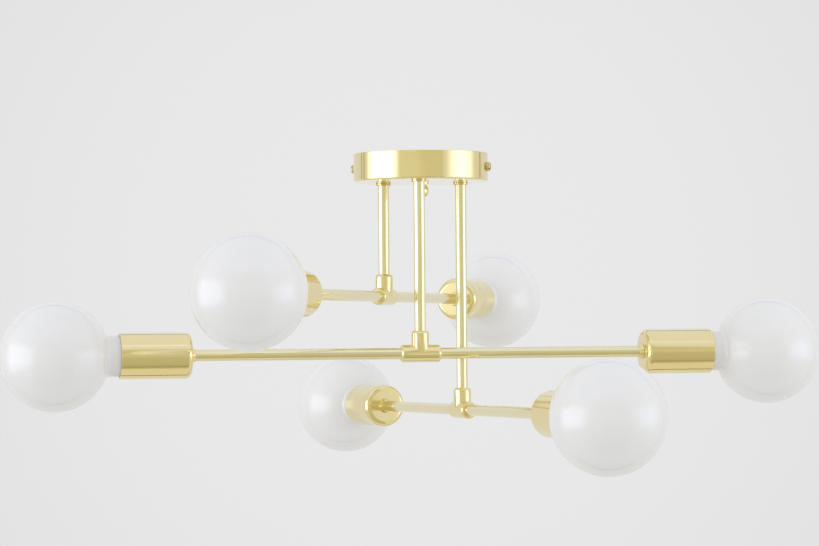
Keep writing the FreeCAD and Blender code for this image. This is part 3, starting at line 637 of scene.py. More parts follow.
def build_rings() -> bpy.types.NodeTree:
    """Fine rings that polishing on a lathe leaves round a turned surface.

    Returns:
        The shader group.
    """
    graph = GroupGraph("Polishing rings", {"Depth": 1.0}, ("Height", "Mask"))
    along = graph.add("Attribute", attribute_name="lathe").outputs["Fac"]
    broad = graph.math("MULTIPLY", graph.noise(along, 0.35, 2.0, one_way=True), 0.6)
    fine = graph.noise(along, 1.9, 3.0, one_way=True)
    mixed = graph.math("ADD", broad, graph.math("MULTIPLY", fine, 0.4))
    depth = graph.math("MULTIPLY", graph.entry["Depth"], DEPTH_UNIT)
    height = graph.math("MULTIPLY", mixed, depth)
    return graph.finish(Height=height, Mask=graph.spread(fine, 0.42, 0.62))


def build_haze() -> bpy.types.NodeTree:
    """Patches where hands and cloths left the surface a little less clear.

    Returns:
        The shader group.
    """
    graph = GroupGraph("Handling haze", {"Scale": 18.0}, ("Mask",))
    place = graph.place()
    patches = graph.noise(place, graph.entry["Scale"], 4.0)
    streaks = graph.math("MULTIPLY", graph.noise(place, 150.0, 2.0), 0.25)
    return graph.finish(Mask=graph.spread(graph.math("ADD", patches, streaks), 0.52, 0.82))


def build_dust() -> bpy.types.NodeTree:
    """A thin film of dust on whatever faces up.

    Returns:
        The shader group.
    """
    graph = GroupGraph("Settled dust", {"Amount": 0.1}, ("Mask",))
    facing = graph.add("SeparateXYZ", {0: graph.add("NewGeometry").outputs["Normal"]})
    level = graph.spread(facing.outputs["Z"], 0.55, 1.0)
    specks = graph.spread(graph.noise(graph.place(), 420.0, 4.0), 0.45, 0.7, 0.35, 1.0)
    share = graph.math("MULTIPLY", specks, graph.entry["Amount"])
    return graph.finish(Mask=graph.math("MULTIPLY", level, share))


def build_grain() -> bpy.types.NodeTree:
    """The fine grain of moulded, cast or plated surfaces.

    Returns:
        The shader group.
    """
    graph = GroupGraph("Fine grain", {"Scale": 900.0, "Depth": 1.0}, ("Height", "Mask"))
    cells = graph.noise(graph.place(), graph.entry["Scale"], 5.0)
    depth = graph.math("MULTIPLY", graph.entry["Depth"], DEPTH_UNIT)
    height = graph.math("MULTIPLY", cells, depth)
    return graph.finish(Height=height, Mask=graph.spread(cells, 0.4, 0.65))


@dataclass(frozen=True)
class Effects:
    """The effects that several finishes share, each one a shader group."""

    rings: bpy.types.NodeTree = field(default_factory=build_rings)
    haze: bpy.types.NodeTree = field(default_factory=build_haze)
    dust: bpy.types.NodeTree = field(default_factory=build_dust)
    grain: bpy.types.NodeTree = field(default_factory=build_grain)


@dataclass(frozen=True)
class Surface:
    """The graph of a material, with the marks that every finish has."""

    graph: Graph
    haze: bpy.types.NodeSocket
    film: bpy.types.NodeSocket
    grain: bpy.types.bpy_prop_collection


@dataclass(frozen=True)
class Finish:
    """A finish of two tones and two roughnesses, with a grain, a coat and a film of dust."""

    name: str
    colour: Colour
    shade: Colour
    clear: float
    hazy: float
    coat: float = 0.0
    coat_roughness: float = 0.04
    haze_scale: float = 18.0
    grain: float = 0.0
    grain_scale: float = 900.0
    dust: float = 0.05
    dust_colour: Colour = (0.62, 0.6, 0.56)

    def build(self, effects: Effects) -> bpy.types.Material:
        """Build the material.

        Args:
            effects: The shared shader groups.

        Returns:
            The material.
        """
        material, graph = new_material(self.name)
        material.diffuse_color = (*self.colour, 1.0)
        shader = graph.add("BsdfPrincipled", {"Coat Roughness": self.coat_roughness})
        graph.add("OutputMaterial", {"Surface": shader.outputs[0]})
        haze = graph.group(effects.haze, Scale=self.haze_scale)
        dust = graph.group(effects.dust, Amount=self.dust)
        grain = graph.group(effects.grain, Scale=self.grain_scale, Depth=self.grain)
        surface = Surface(graph, haze["Mask"], dust["Mask"], grain)
        graph.feed(shader, self.inputs(surface, effects))
        return material

    def soft(self, surface: Surface) -> bpy.types.NodeSocket:
        """The roughness that follows the haze."""
        return surface.graph.spread(surface.haze, 0.0, 1.0, self.clear, self.hazy)

    def inputs(self, surface: Surface, effects: Effects) -> dict[str, object]:
        """What the shader gets.

        Args:
            surface: The material's graph and marks.
            effects: The shared shader groups.

        Returns:
            A value or a socket for each of the shader's inputs that this finish sets.
        """
        raise NotImplementedError


@dataclass(frozen=True)
class Metal(Finish):
    """A plated or polished metal with polishing rings, haze and a little dust."""

    rings: float = 0.0
    ring_wear: float = 0.3
    film_roughness: float = 0.5

    def inputs(self, surface: Surface, effects: Effects) -> dict[str, object]:
        """What the shader gets, as for every finish."""
        graph, film = surface.graph, surface.film
        rings = graph.group(effects.rings, Depth=self.rings)
        tone = graph.blend(surface.haze, self.colour, self.shade)
        worn = graph.math("MULTIPLY", rings["Mask"], (self.hazy - self.clear) * self.ring_wear)
        rough = graph.math("ADD", self.soft(surface), worn)
        dull = graph.math("MULTIPLY", film, self.film_roughness)
        height = graph.math("ADD", rings["Height"], surface.grain["Height"])
        return {
            "Base Color": graph.blend(film, tone, self.dust_colour),
            "Metallic": graph.math("SUBTRACT", 1.0, film),
            "Roughness": graph.math("ADD", rough, dull),
            "Normal": graph.relief(height),
            "Coat Weight": self.coat,
        }


@dataclass(frozen=True)
class Moulded(Finish):
    """A moulded plastic or rubber with a fine grain and handling haze."""

    coat_roughness: float = 0.05
    haze_scale: float = 30.0
    grain: float = 2.0
    dust: float = 0.08
    dust_colour: Colour = (0.6, 0.58, 0.55)

    def inputs(self, surface: Surface, effects: Effects) -> dict[str, object]:
        """What the shader gets, as for every finish."""
        graph = surface.graph
        tone = graph.blend(surface.grain["Mask"], self.colour, self.shade)
        return {
            "Base Color": graph.blend(surface.film, tone, self.dust_colour),
            "Roughness": self.soft(surface),
            "Normal": graph.relief(surface.grain["Height"]),
            "Coat Weight": self.coat,
        }


@dataclass(frozen=True)
class OpalGlass(Finish):
    """White opal glass: a milky body under a glossy skin, with painted shade that greys the neck
    where the cup shades it.
    """

    coat: float = 1.0
    coat_roughness: float = 0.12
    haze_scale: float = 12.0
    grain: float = 0.4
    grain_scale: float = 120.0
    dust: float = 0.03
    dust_colour: Colour = (0.7, 0.69, 0.67)
    cloud_share: float = 0.5
    neck: Colour = (0.77, 0.765, 0.755)
    neck_coat: float = 0.5
    neck_roughness: float = 0.15

    def inputs(self, surface: Surface, effects: Effects) -> dict[str, object]:
        """What the shader gets, as for every finish."""
        graph = surface.graph
        neck = graph.add("Attribute", attribute_name="neck").outputs["Fac"]
        cloud = graph.math("MULTIPLY", surface.haze, self.cloud_share)
        # Painted shade: the neck's colour is greyer where the cup shades it; the same mask also
        # thins its coat and roughens it.
        tone = graph.blend(neck, graph.blend(cloud, self.colour, self.shade), self.neck)
        dull = graph.math("MULTIPLY", neck, self.neck_roughness)
        return {
            "Base Color": graph.blend(surface.film, tone, self.dust_colour),
            "Roughness": graph.math("ADD", self.soft(surface), dull),
            "Normal": graph.relief(surface.grain["Height"]),
            "Coat Weight": graph.spread(neck, 0.0, 1.0, self.coat, self.neck_coat),
        }


FINISHES = (
    Metal(
        "polished_brass", (0.905, 0.77, 0.39), (0.89, 0.745, 0.36), 0.07, 0.12, coat=0.6, rings=0.5
    ),
    Metal("tube_brass", (0.885, 0.8, 0.48), (0.86, 0.77, 0.45), 0.13, 0.18, coat=0.6, rings=0.05),
    # Darker brass for the bushes and the side screws: painted shade where they sit against the
    # canopy.
    Metal("brass_painted_shade", (0.74, 0.6, 0.28), (0.66, 0.52, 0.22), 0.14, 0.22, rings=0.5),
    # Duller, rougher brass for the inner sides of the canopy and the cups; its paler tone is
    # painted light that lifts the shade inside them.
    Metal("brass_inside", (0.86, 0.78, 0.54), (0.8, 0.7, 0.46), 0.3, 0.42, rings=4.0, dust=0.12),
    Metal("zinc_steel", (0.64, 0.65, 0.67), (0.5, 0.52, 0.56), 0.26, 0.42, grain=3.0, dust=0.1),
    Metal("contact_brass", (0.82, 0.66, 0.3), (0.66, 0.5, 0.22), 0.22, 0.36, grain=2.0),
    Metal("base_metal", (0.78, 0.78, 0.77), (0.66, 0.66, 0.65), 0.2, 0.34, grain=2.0),
    Moulded("white_plastic", (0.78, 0.775, 0.75), (0.72, 0.71, 0.68), 0.34, 0.5),
    Moulded("holder_plastic", (0.045, 0.045, 0.047), (0.06, 0.06, 0.062), 0.26, 0.42, grain=1.5),
    Moulded("cable_sheath", (0.62, 0.6, 0.57), (0.5, 0.48, 0.45), 0.38, 0.52, grain_scale=1500.0),
    OpalGlass("opal_glass", (0.84, 0.84, 0.84), (0.82, 0.82, 0.82), 0.3, 0.36),
)


class Finishes:
    """Every material of the light, by its name."""

    def __init__(self) -> None:
        """Build the shared effects and all the materials."""
        effects = Effects()
        self._made = {finish.name: finish.build(effects) for finish in FINISHES}

    def dress(self, piece: bpy.types.Object, *names: str) -> None:
        """Give a piece these materials and no others.

        Args:
            piece: The piece.
            names: The materials' names, in order.
        """
        piece.data.materials.clear()
        for name in names:
            piece.data.materials.append(self._made[name])

    def dress_node(self, node: bpy.types.Object, name: str) -> None:
        """Give a carried-over CAD node one material in all its slots.

        Args:
            node: The CAD node.
            name: The material's name.
        """
        if not node.material_slots:
            node.data.materials.append(self._made[name])
        for place in node.material_slots:
            place.material = self._made[name]


# -------------------------------------- Sub-assemblies --------------------------------------


def stem_place(tier: str, up: float = 0.0) -> Place:
    """A point on a tier's stem axis, in millimetres."""
    angle = math.radians(STEM_ANGLES[tier])
    return (STEM_CIRCLE * math.cos(angle), STEM_CIRCLE * math.sin(angle), up)


@dataclass
class Assembly:
    """A sub-assembly that dresses its pieces and puts them on their bodies."""

    finishes: Finishes

    def hand_over(
        self, piece: bpy.types.Object, body: str, slot: str, node: str, look: str = ""
    ) -> None:
        """Put a finished piece on its body, in the place of the CAD node that it stands for.

        Args:
            piece: The finished piece.
            body: The body that it rides on.
            slot: The record's slot that its finish comes from; not used.
            node: The CAD node that it replaces.
            look: The material that it gets, or none where it is dressed already.
        """
        if look:
            self.finishes.dress(piece, look)
        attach(piece, body)
        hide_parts(node)
        LOG.info("%s rides on %s: %d faces", piece.name, body, len(piece.data.polygons))


@dataclass
class Canopy(Assembly):
    """Drawn canopy with the two screws that hold it to the bracket."""

    radius: float = 60.0
    height: float = 25.0
    wall: float = 1.2
    edge: float = 1.8
    rim_rounding: float = 0.35
    support: float = 4.0
    steps: int = 192
    bush_hole: float = 5.9
    stud_hole: float = 3.0
    tool_margin: float = 2.0
    screw_drop: float = 12.5
    screw_hole: float = 2.2
    screw_hole_steps: int = 32
    screw_radius: float = 2.0
    screw_length: float = 8.0
    screw_tip: float = 0.4
    head_radius: float = 4.0
    head_height: float = 3.5
    head_rounding: float = 1.75
    head_foot: float = 0.2
    slot_width: float = 1.0
    slot_depth: float = 1.2
    slot_turn: float = 35.0

    def build_shell(self) -> bpy.types.Object:
        """Spin the shell and cut its holes.

        Returns:
            The shell.
        """
        inside = self.radius - self.wall
        floor = self.wall - self.height
        corners = [
            Corner(0.0, -self.height),
            Corner(self.radius, -self.height, self.edge),
            Corner(self.radius, -self.screw_drop - self.support),
            Corner(self.radius, -self.screw_drop + self.support),
            Corner(self.radius, 0.0, self.rim_rounding),
            Corner(inside, 0.0, self.rim_rounding),
            Corner(inside, -self.screw_drop + self.support),
            Corner(inside, -self.screw_drop - self.support),
            Corner(inside, floor, self.edge - self.wall),
            Corner(0.0, floor),
        ]
        shell = turned("canopy_visual", corners, Axis.UP, self.steps)
        low, high = -self.height - self.tool_margin, floor + self.tool_margin
        for tier in STEM_ANGLES:
            cut(shell, plug(self.bush_hole, low, high, stem_place(tier)))
        cut(shell, plug(self.stud_hole, low, high, (0.0, 0.0, 0.0)))
        reach = 2.0 * self.radius
        outline = [
            Corner(-reach, 0.0),
            Corner(reach, 0.0),
            Corner(reach, self.screw_hole),
            Corner(-reach, self.screw_hole),
        ]
        drill = turned("drill", outline, Axis.ALONG, self.screw_hole_steps)
        drill.location.z = -self.screw_drop * MM
        cut(shell, drill)
        return smooth(shell)

    @staticmethod
    def is_inside(centre: Vector, normal: Vector) -> bool:
        """True for a face of the shell's inner side."""
        at_floor = normal.z > TURNED_OVER and centre.z < -OFF_AXIS
        return at_floor or faces_in(Vector((centre.x, centre.y, 0.0)), normal)

    def build_screws(self) -> bpy.types.Object:
        """Turn a round-headed screw, slot its head, and put one at each side.

        Returns:
            Both screws as one piece.
        """
        corners = [
            Corner(-self.screw_length, 0.0),
            Corner(self.head_height, 0.0),
            Corner(self.head_height, self.head_radius, self.head_rounding),
            Corner(0.0, self.head_radius, self.head_foot),
            Corner(0.0, self.screw_radius),
            Corner(-self.screw_length, self.screw_radius, self.screw_tip),
        ]
        screw = turned("screw", corners, Axis.ALONG, TUBE_STEPS)
        select_only()
        bpy.ops.mesh.primitive_cube_add(size=MM, location=(self.head_height * MM, 0.0, 0.0))
        slot = bpy.context.active_object
        slot.scale = (2.0 * self.slot_depth, 4.0 * self.head_radius, self.slot_width)
        slot.rotation_euler.x = math.radians(self.slot_turn)
        cut(screw, slot)
        smooth(screw)
        both = []
        for side, out in ((Side.RIGHT, self.radius), (Side.LEFT, -self.radius)):
            name = f"screw_{side.name.lower()}"
            both.append(copied(screw, name, side.value, (out, 0.0, -self.screw_drop)))
        discard(screw)
        return joined("side_screws_visual", both)

    def build(self) -> None:
        """Build and dress the shell and its screws."""
        shell = self.build_shell()
        # The inner faces get the duller brass whose paler tone is painted light.
        self.finishes.dress(shell, "polished_brass", "brass_inside")
        paint(shell, 1, self.is_inside)
        self.hand_over(shell, CEILING, "polished_brass", "canopy")
        screws = self.build_screws()
        # The side screws get the darker brass of painted shade.
        self.hand_over(screws, CEILING, "polished_brass", "side_screws", "brass_painted_shade")


@dataclass
class BallFinial(Assembly):
    """Ball nut under the canopy's centre."""

    underside: float = -25.0
    ball_radius: float = 7.0
    ball_drop: float = 8.0
    ball_steps: int = 36
    neck_radius: float = 5.0
    flange_radius: float = 7.0
    flange_height: float = 2.0
    rounding: float = 0.4
    stud_radius: float = 3.0
    stud_length: float = 6.4

    def build(self) -> None:
        """Draw the ball, the neck, the flange and the stud, and turn them."""
        centre = self.underside - self.ball_drop
        meet = math.sqrt(self.ball_radius**2 - self.neck_radius**2)
        sweep = 90.0 + math.degrees(math.atan2(meet, self.neck_radius))
        flange_foot = self.underside - self.flange_height
        flange_flat = self.flange_radius - self.rounding
        stud_top = self.underside + self.stud_length
        pen = Pen("ball_finial_visual", in_plane(0.0, centre - self.ball_radius))
        pen.arc(0.0, centre, sweep, self.ball_steps)
        pen.line(self.neck_radius, flange_foot)
        pen.line(flange_flat, flange_foot)
        pen.arc(flange_flat, flange_foot + self.rounding, 90.0)
        pen.line(self.flange_radius, self.underside)
        pen.line(self.stud_radius, self.underside)
        pen.line(self.stud_radius, stud_top)
        pen.line(0.0, stud_top)
        finial = smooth(pen.turn(Axis.UP, TUBE_STEPS))
        self.hand_over(finial, CEILING, "polished_brass", "ball_finial", "polished_brass")


@dataclass
class SwivelBushes(Assembly):
    """Three flanged bushes that the stems turn in."""

    underside: float = -25.0
    bore: float = 5.05
    radius: float = 5.9
    top: float = -18.8
    top_rounding: float = 0.25
    flange_radius: float = 6.5
    flange_height: float = 2.0
    rounding: float = 0.4
    steps: int = 72

    def build(self) -> None:
        """Turn one bush and put a copy round each stem."""
        foot = self.underside - self.flange_height
        corners = [
            Corner(self.bore, foot, BROKEN_EDGE),
            Corner(self.flange_radius, foot, self.rounding),
            Corner(self.flange_radius, self.underside, BROKEN_EDGE),
            Corner(self.radius, self.underside),
            Corner(self.radius, self.top, self.top_rounding),
            Corner(self.bore, self.top, BROKEN_EDGE),
        ]
        bush = smooth(turned("bush", corners, Axis.UP, self.steps))
        copies = [copied(bush, f"bush_{tier}", place=stem_place(tier)) for tier in STEM_ANGLES]
        discard(bush)
        bushes = joined("swivel_bushes_visual", copies)
        # The bushes get the darker brass of painted shade under the canopy.
        self.hand_over(bushes, CEILING, "polished_brass", "swivel_bushes", "brass_painted_shade")


@dataclass
class CeilingFittings(Assembly):
    """What the canopy hides: bracket, terminal block, nuts, small screws and cables."""

    strap_bevel: float = 0.3
    nut_bevel: float = 0.2
    block_bevel: float = 0.5

    def build(self) -> None:
        """Refine each CAD node that the canopy hides."""
        pieces = (
            ("ceiling_bracket", "zinc_steel", self.strap_bevel),
            ("finial_lock_nut", "zinc_steel", self.nut_bevel),
            ("bush_nuts", "zinc_steel", self.nut_bevel),
            ("bracket_screws", "zinc_steel", 0.0),
            ("terminal_block", "white_plastic", self.block_bevel),
            ("terminal_inserts", "contact_brass", 0.0),
            ("canopy_wiring", "cable_sheath", 0.0),
        )
        for node, slot, bevel in pieces:
            self.hand_over(refined(node, bevel), CEILING, slot, node, slot)


@dataclass
class Tee:
    """Tee with three rounded mouths, modelled along +X with its stem socket up."""

    radius: float = 7.8
    length: float = 36.0
    height: float = 20.0
    end: float = 3.0
    end_steps: int = 10
    mouth: float = 5.5
    tube: float = 5.0
    bore: float = 4.0
    depth: float = 9.0
    tool_margin: float = 1.0

    @property
    def end_radius(self) -> float:
        """The radius of a mouth's rounding."""
        step = self.radius - self.mouth
        return (self.end**2 + step**2) / (2.0 * step)

    @property
    def end_turn(self) -> float:
        """How far a mouth's rounding turns, in degrees."""
        return math.degrees(math.asin(self.end / self.end_radius))

    def build(self) -> bpy.types.Object:
        """Turn the barrel and the socket, join them and bore them.

        Returns:
            The tee at the origin.
        """
        half = self.length / 2.0
        centre = self.radius - self.end_radius
        pen = Pen("tee", in_plane(-half, 0.0))
        pen.line(-half, self.mouth)
        pen.arc(-half + self.end, centre, -self.end_turn, self.end_steps)
        pen.line(half - self.end, self.radius)
        pen.arc(half - self.end, centre, -self.end_turn, self.end_steps)
        pen.line(half, 0.0)
        tee = pen.turn(Axis.ALONG)
        pen = Pen("socket", in_plane(0.0, 0.0))
        pen.line(self.radius, 0.0)
        pen.line(self.radius, self.height - self.end)
        pen.arc(centre, self.height - self.end, self.end_turn, self.end_steps)
        pen.line(0.0, self.height)
        cut(tee, pen.turn(Axis.UP), Cut.ADD)
        shoulder = half - self.depth
        over = half + self.tool_margin
        arm_bore = [
            Corner(-over, 0.0),
            Corner(over, 0.0),
            Corner(over, self.tube),
            Corner(shoulder, self.tube),
            Corner(shoulder, self.bore),
            Corner(-shoulder, self.bore),
            Corner(-shoulder, self.tube),
            Corner(-over, self.tube),
        ]
        cut(tee, turned("arm_bore", arm_bore, Axis.ALONG))
        stem_bore = [
            Corner(0.0, 0.0),
            Corner(self.bore, 0.0),
            Corner(self.bore, self.height - self.depth),
            Corner(self.tube, self.height - self.depth),
            Corner(self.tube, self.height + self.tool_margin),
            Corner(0.0, self.height + self.tool_margin),
        ]
        cut(tee, turned("stem_bore", stem_bore, Axis.UP))
        return smooth(tee)


@dataclass
class LampArm:
    """Arm tube, trim collar, lamp cup and globe lamp, modelled once along +X."""

    tube_radius: float = 5.0
    tube_bore: float = 4.0
    tube_start: float = 9.0
    tube_end: float = 212.2
    reach: float = 203.0
    collar_length: float = 3.5
    collar_radius: float = 7.0
    collar_tip: float = 5.75
    collar_rounding: float = 0.3
    tip_rounding: float = 0.25
    cup_radius: float = 20.0
    cup_wall: float = 0.8
    cup_length: float = 62.0
    cup_corner: float = 5.0
    round_steps: int = 128
    lip_radius: float = 17.95
    lip_length: float = 1.4
    lip_rounding: float = 0.4
    lip_foot: float = 0.2
    base_rim: float = 256.0
    base_seat: float = 8.0
    seat_radius: float = 12.7
    neck_radius: float = 17.5
    neck_flare: float = 6.5
    neck_length: float = 17.2
    neck_blend: float = 4.0
    blend_steps: int = 14
    fade_lead: float = 1.0
    fade_length: float = 3.0
    globe_radius: float = 47.5
    globe_wall: float = 1.0
    globe_steps: int = 60

    def build_tube(self) -> bpy.types.Object:
        """The arm's tube.

        Returns:
            The tube.
        """
        corners = [
            Corner(self.tube_start, self.tube_bore, BROKEN_EDGE),
            Corner(self.tube_end, self.tube_bore, BROKEN_EDGE),
            Corner(self.tube_end, self.tube_radius, BROKEN_EDGE),
            Corner(self.tube_start, self.tube_radius, BROKEN_EDGE),
        ]
        return smooth(turned("arm", corners, Axis.ALONG, TUBE_STEPS))

    def build_collar(self) -> bpy.types.Object:
        """The tapered trim collar against the cup.

        Returns:
            The collar.
        """
        thin_end = self.reach - self.collar_length
        corners = [
            Corner(thin_end, self.tube_radius),
            Corner(self.reach, self.tube_radius),
            Corner(self.reach, self.collar_radius, self.collar_rounding),
            Corner(thin_end, self.collar_tip, self.tip_rounding),
        ]
        return smooth(turned("collar", corners, Axis.ALONG, TUBE_STEPS))

    def build_cup(self) -> bpy.types.Object:
        """The drawn lamp cup with its rounded closed end and its lip, rolled in to the neck.

        Returns:
            The cup.
        """
        inside = self.cup_radius - self.cup_wall
        mouth = self.reach + self.cup_length
        floor = self.reach + self.cup_wall
        corners = [
            Corner(self.reach, self.tube_radius, BROKEN_EDGE),
            Corner(floor, self.tube_radius, BROKEN_EDGE),
            Corner(floor, inside, self.cup_corner - self.cup_wall),
            Corner(mouth - self.lip_length, inside),
            Corner(mouth - self.lip_length, self.lip_radius, self.lip_foot),
            Corner(mouth, self.lip_radius, self.lip_rounding),
            Corner(mouth, self.cup_radius, self.lip_rounding),
            Corner(self.reach, self.cup_radius, self.cup_corner),
        ]
        return smooth(turned("cup", corners, Axis.ALONG, self.round_steps))

    def is_cup_inside(self, centre: Vector, normal: Vector) -> bool:
        """True for a face of the cup's inner side."""
        at_floor = normal.x > TURNED_OVER and centre.x < self.reach + self.cup_corner
        return at_floor or faces_in(Vector((0.0, centre.y, centre.z)), normal)

    def neck_share(self, along: float) -> float:
        """How much of the neck's look, with its painted shade, a place along the lamp has, from 1
        down to 0.
        """
        past = along - self.base_rim - self.neck_length + self.fade_lead
        return 1.0 - min(1.0, max(0.0, past / self.fade_length))

    def build_globe(self) -> bpy.types.Object:
        """The opal envelope: seat, flare, neck, blend and globe, one wall thick.

        Returns:
            The globe.
        """
        wall = self.globe_wall
        flare_end = self.base_rim + self.neck_flare
        blend_place = self.base_rim + self.neck_length
        blend_height = self.neck_radius + self.neck_blend
        distance = self.globe_radius + self.neck_blend
        reach = math.sqrt(distance**2 - blend_height**2)
        centre = blend_place + reach
        blend_turn = math.degrees(math.atan2(reach, blend_height))
        globe_turn = 180.0 - math.degrees(math.atan2(blend_height, reach))
        seat = self.base_rim - self.base_seat
        pen = Pen("globe", in_plane(seat, self.seat_radius))
        pen.line(self.base_rim, self.seat_radius)
        pen.line(flare_end, self.neck_radius)
        pen.line(blend_place, self.neck_radius)
        pen.arc(blend_place, blend_height, blend_turn, self.blend_steps)
        pen.arc(centre, 0.0, -globe_turn, self.globe_steps)
        pen.line(centre + self.globe_radius - wall, 0.0)
        pen.arc(centre, 0.0, globe_turn, self.globe_steps)
        pen.arc(blend_place, blend_height, -blend_turn, self.blend_steps)
        pen.line(flare_end, self.neck_radius - wall)
        pen.line(self.base_rim, self.seat_radius - wall)
        pen.line(seat, self.seat_radius - wall)
        pen.line(seat, self.seat_radius)
        globe = smooth(pen.turn(Axis.ALONG, self.round_steps))
        # The share of the neck's look, which carries the painted shade of the cup.
        store(globe, "neck", [self.neck_share(vertex.co.x / MM) for vertex in globe.data.vertices])
        return globe

    def build(self, finishes: Finishes) -> dict[str, bpy.types.Object]:
        """Build and dress every part of the arm.

        Args:
            finishes: The light's materials.

        Returns:
            The parts by label.
        """
        parts = {
            "arm": self.build_tube(),
            "collar": self.build_collar(),
            "cup": self.build_cup(),
            "globe": self.build_globe(),
        }
        finishes.dress(parts["arm"], "tube_brass")
        finishes.dress(parts["collar"], "polished_brass")
        # The cup's inner faces get the duller brass whose paler tone is painted light.
        finishes.dress(parts["cup"], "polished_brass", "brass_inside")
        finishes.dress(parts["globe"], "opal_glass")
        paint(parts["cup"], 1, self.is_cup_inside)
        return parts


@dataclass
class Tier(Assembly):
    """One stem with its tee and its two lamp arms, all on one turning body."""

    name: str
    level: float
    arm_angle: float
    tube_radius: float = 5.0
    tube_bore: float = 4.0
    stem_top: float = -14.7
    stem_foot: float = 11.0
    top_rounding: float = 0.25
    nut_bevel: float = 0.2

    @property
    def body(self) -> str:
        """The body that the tier rides on."""
        return f"{self.name}_tier"

    def build_stem(self) -> None:
        """Turn the stem's tube and put it on its axis, with its nut."""
        foot = self.stem_foot - self.level
        corners = [
            Corner(self.tube_bore, foot, BROKEN_EDGE),
            Corner(self.tube_radius, foot, BROKEN_EDGE),
            Corner(self.tube_radius, self.stem_top, self.top_rounding),
            Corner(self.tube_bore, self.stem_top, BROKEN_EDGE),
        ]
        made = smooth(turned("stem", corners, Axis.UP, TUBE_STEPS))
        stem = copied(made, f"{self.name}_stem_visual", place=stem_place(self.name))
        discard(made)
        self.hand_over(stem, self.body, "polished_brass", f"{self.name}_stem", "tube_brass")
        node = f"{self.name}_stem_nut"
        nut = refined(node, self.nut_bevel)
        self.hand_over(nut, self.body, "zinc_steel", node, "zinc_steel")

    def copy_part(self, part: bpy.types.Object, label: str, side: Side) -> bpy.types.Object:
        """Copy a part that is modelled along +X onto one of the tier's arms.

        Args:
            part: The part.
            label: What the copy is called, after the tier's name.
            side: Which arm it goes on.

        Returns:
            The copy.
        """
        turn = self.arm_angle + side.value
        return copied(part, f"{self.name}_{label}_visual", turn, stem_place(self.name, -self.level))

    def build(self, parts: dict[str, bpy.types.Object]) -> None:
        """Build the stem, and copy the tee and the arm's parts into place.

        Args:
            parts: The parts that every tier repeats, by label.
        """
        self.build_stem()
        tee = self.copy_part(parts["tee"], "tee", Side.RIGHT)
        self.hand_over(tee, self.body, "polished_brass", f"{self.name}_tee")
        slots = {"arm": "polished_brass", "cup": "polished_brass", "globe": "opal_glass"}
        collars = []
        for side in Side:
            word = side.name.lower()
            for label, slot in slots.items():
                piece = self.copy_part(parts[label], f"{label}_{word}", side)
                self.hand_over(piece, self.body, slot, f"{self.name}_{label}_{word}")
            collars.append(self.copy_part(parts["collar"], f"collar_{word}", side))
        trim = joined(f"{self.name}_arm_collars_visual", collars)
        self.hand_over(trim, self.body, "polished_brass", f"{self.name}_arm_collars")


# ------------------------------------------ Studio ------------------------------------------


WHITE = (1.0, 1.0, 1.0)


@dataclass(frozen=True)
class Panel:
    """Something flat that faces the light.

    Its direction is from the light, in degrees round from the camera and up from the level, and
    its width and height are the angles that it fills.
    """

    name: str
    around: float
    up: float
    width: float
    height: float

    def size(self, distance: float) -> tuple[float, ...]:
        """Its width and its height in metres, at a distance from the light in metres."""
        halves = (math.radians(angle / 2.0) for angle in (self.width, self.height))
        return tuple(2.0 * distance * math.tan(half) for half in halves)


@dataclass(frozen=True)
class Card(Panel):
    """A glowing card that is seen only in reflections.

    Its tones run from its foot to its head, its fades are the shares of its sides and ends that
    go soft, and its sweep tints its left and its right half.
    """

    tones: Tones
    strength: float = 1.0
    side_fade: float = 0.01
    end_fade: float = 0.01
    sweep: tuple[Colour, Colour] = (WHITE, WHITE)


@dataclass(frozen=True)
class SoftBox(Panel):
    """A large soft lamp that isn't seen in reflections."""

    radiance: float


def even(red: float, green: float, blue: float) -> Tones:
    """The tones of a card of one colour."""
    return ((0.0, (red, green, blue)), (1.0, (red, green, blue)))


SOFT_BOXES = (
    SoftBox("left_box", -80.0, 5.0, 50.0, 58.0, 0.6),
    SoftBox("right_box", 78.0, 5.0, 44.0, 50.0, 0.5),
)
ROOM = (
    (0.0, (0.69, 0.66, 0.51)),
    (0.10, (0.57, 0.54, 0.38)),
    (0.165, (0.42, 0.40, 0.26)),
    (0.20, (0.50, 0.49, 0.37)),
    (0.27, (0.57, 0.56, 0.47)),
    (0.40, (0.60, 0.59, 0.50)),
    (0.53, (0.61, 0.60, 0.51)),
    (0.615, (0.71, 0.70, 0.61)),
    (0.675, (0.74, 0.735, 0.62)),
    (0.75, (0.61, 0.61, 0.56)),
    (0.86, (0.69, 0.70, 0.68)),
    (1.0, (0.80, 0.84, 0.90)),
)
ROOM_HALVES = ((1.03, 1.04, 1.03), (0.94, 0.92, 0.84))
SKY = even(0.72, 0.77, 1.0)
LEFT_GLOW = even(0.83, 0.855, 1.0)
RIGHT_GLOW = even(0.76, 0.81, 1.0)
DARK = even(0.12, 0.11, 0.09)
GREY = even(0.42, 0.41, 0.36)
CARDS = (
    Card("room_card", 0.0, -16.5, 82.0, 103.0, ROOM, side_fade=0.1, sweep=ROOM_HALVES),
    Card("sky_card", 0.0, 52.0, 84.0, 12.0, SKY, 1.3, 0.5, 0.7),
    Card("left_panel", -71.0, 0.0, 73.0, 46.0, LEFT_GLOW, 2.5, 0.6, 0.6),
    Card("right_panel", 73.0, 0.0, 68.0, 40.0, RIGHT_GLOW, 2.2, 0.9, 0.7),
    Card("left_line", -113.0, 0.0, 3.0, 90.0, GREY),
    Card("far_left_line", -121.0, 0.0, 3.0, 90.0, GREY),
    Card("right_line", 120.0, 0.0, 4.0, 90.0, GREY),
    Card("top_line", 180.0, 48.0, 120.0, 4.0, DARK),
    Card("low_line", 180.0, -68.0, 60.0, 4.5, DARK),
)


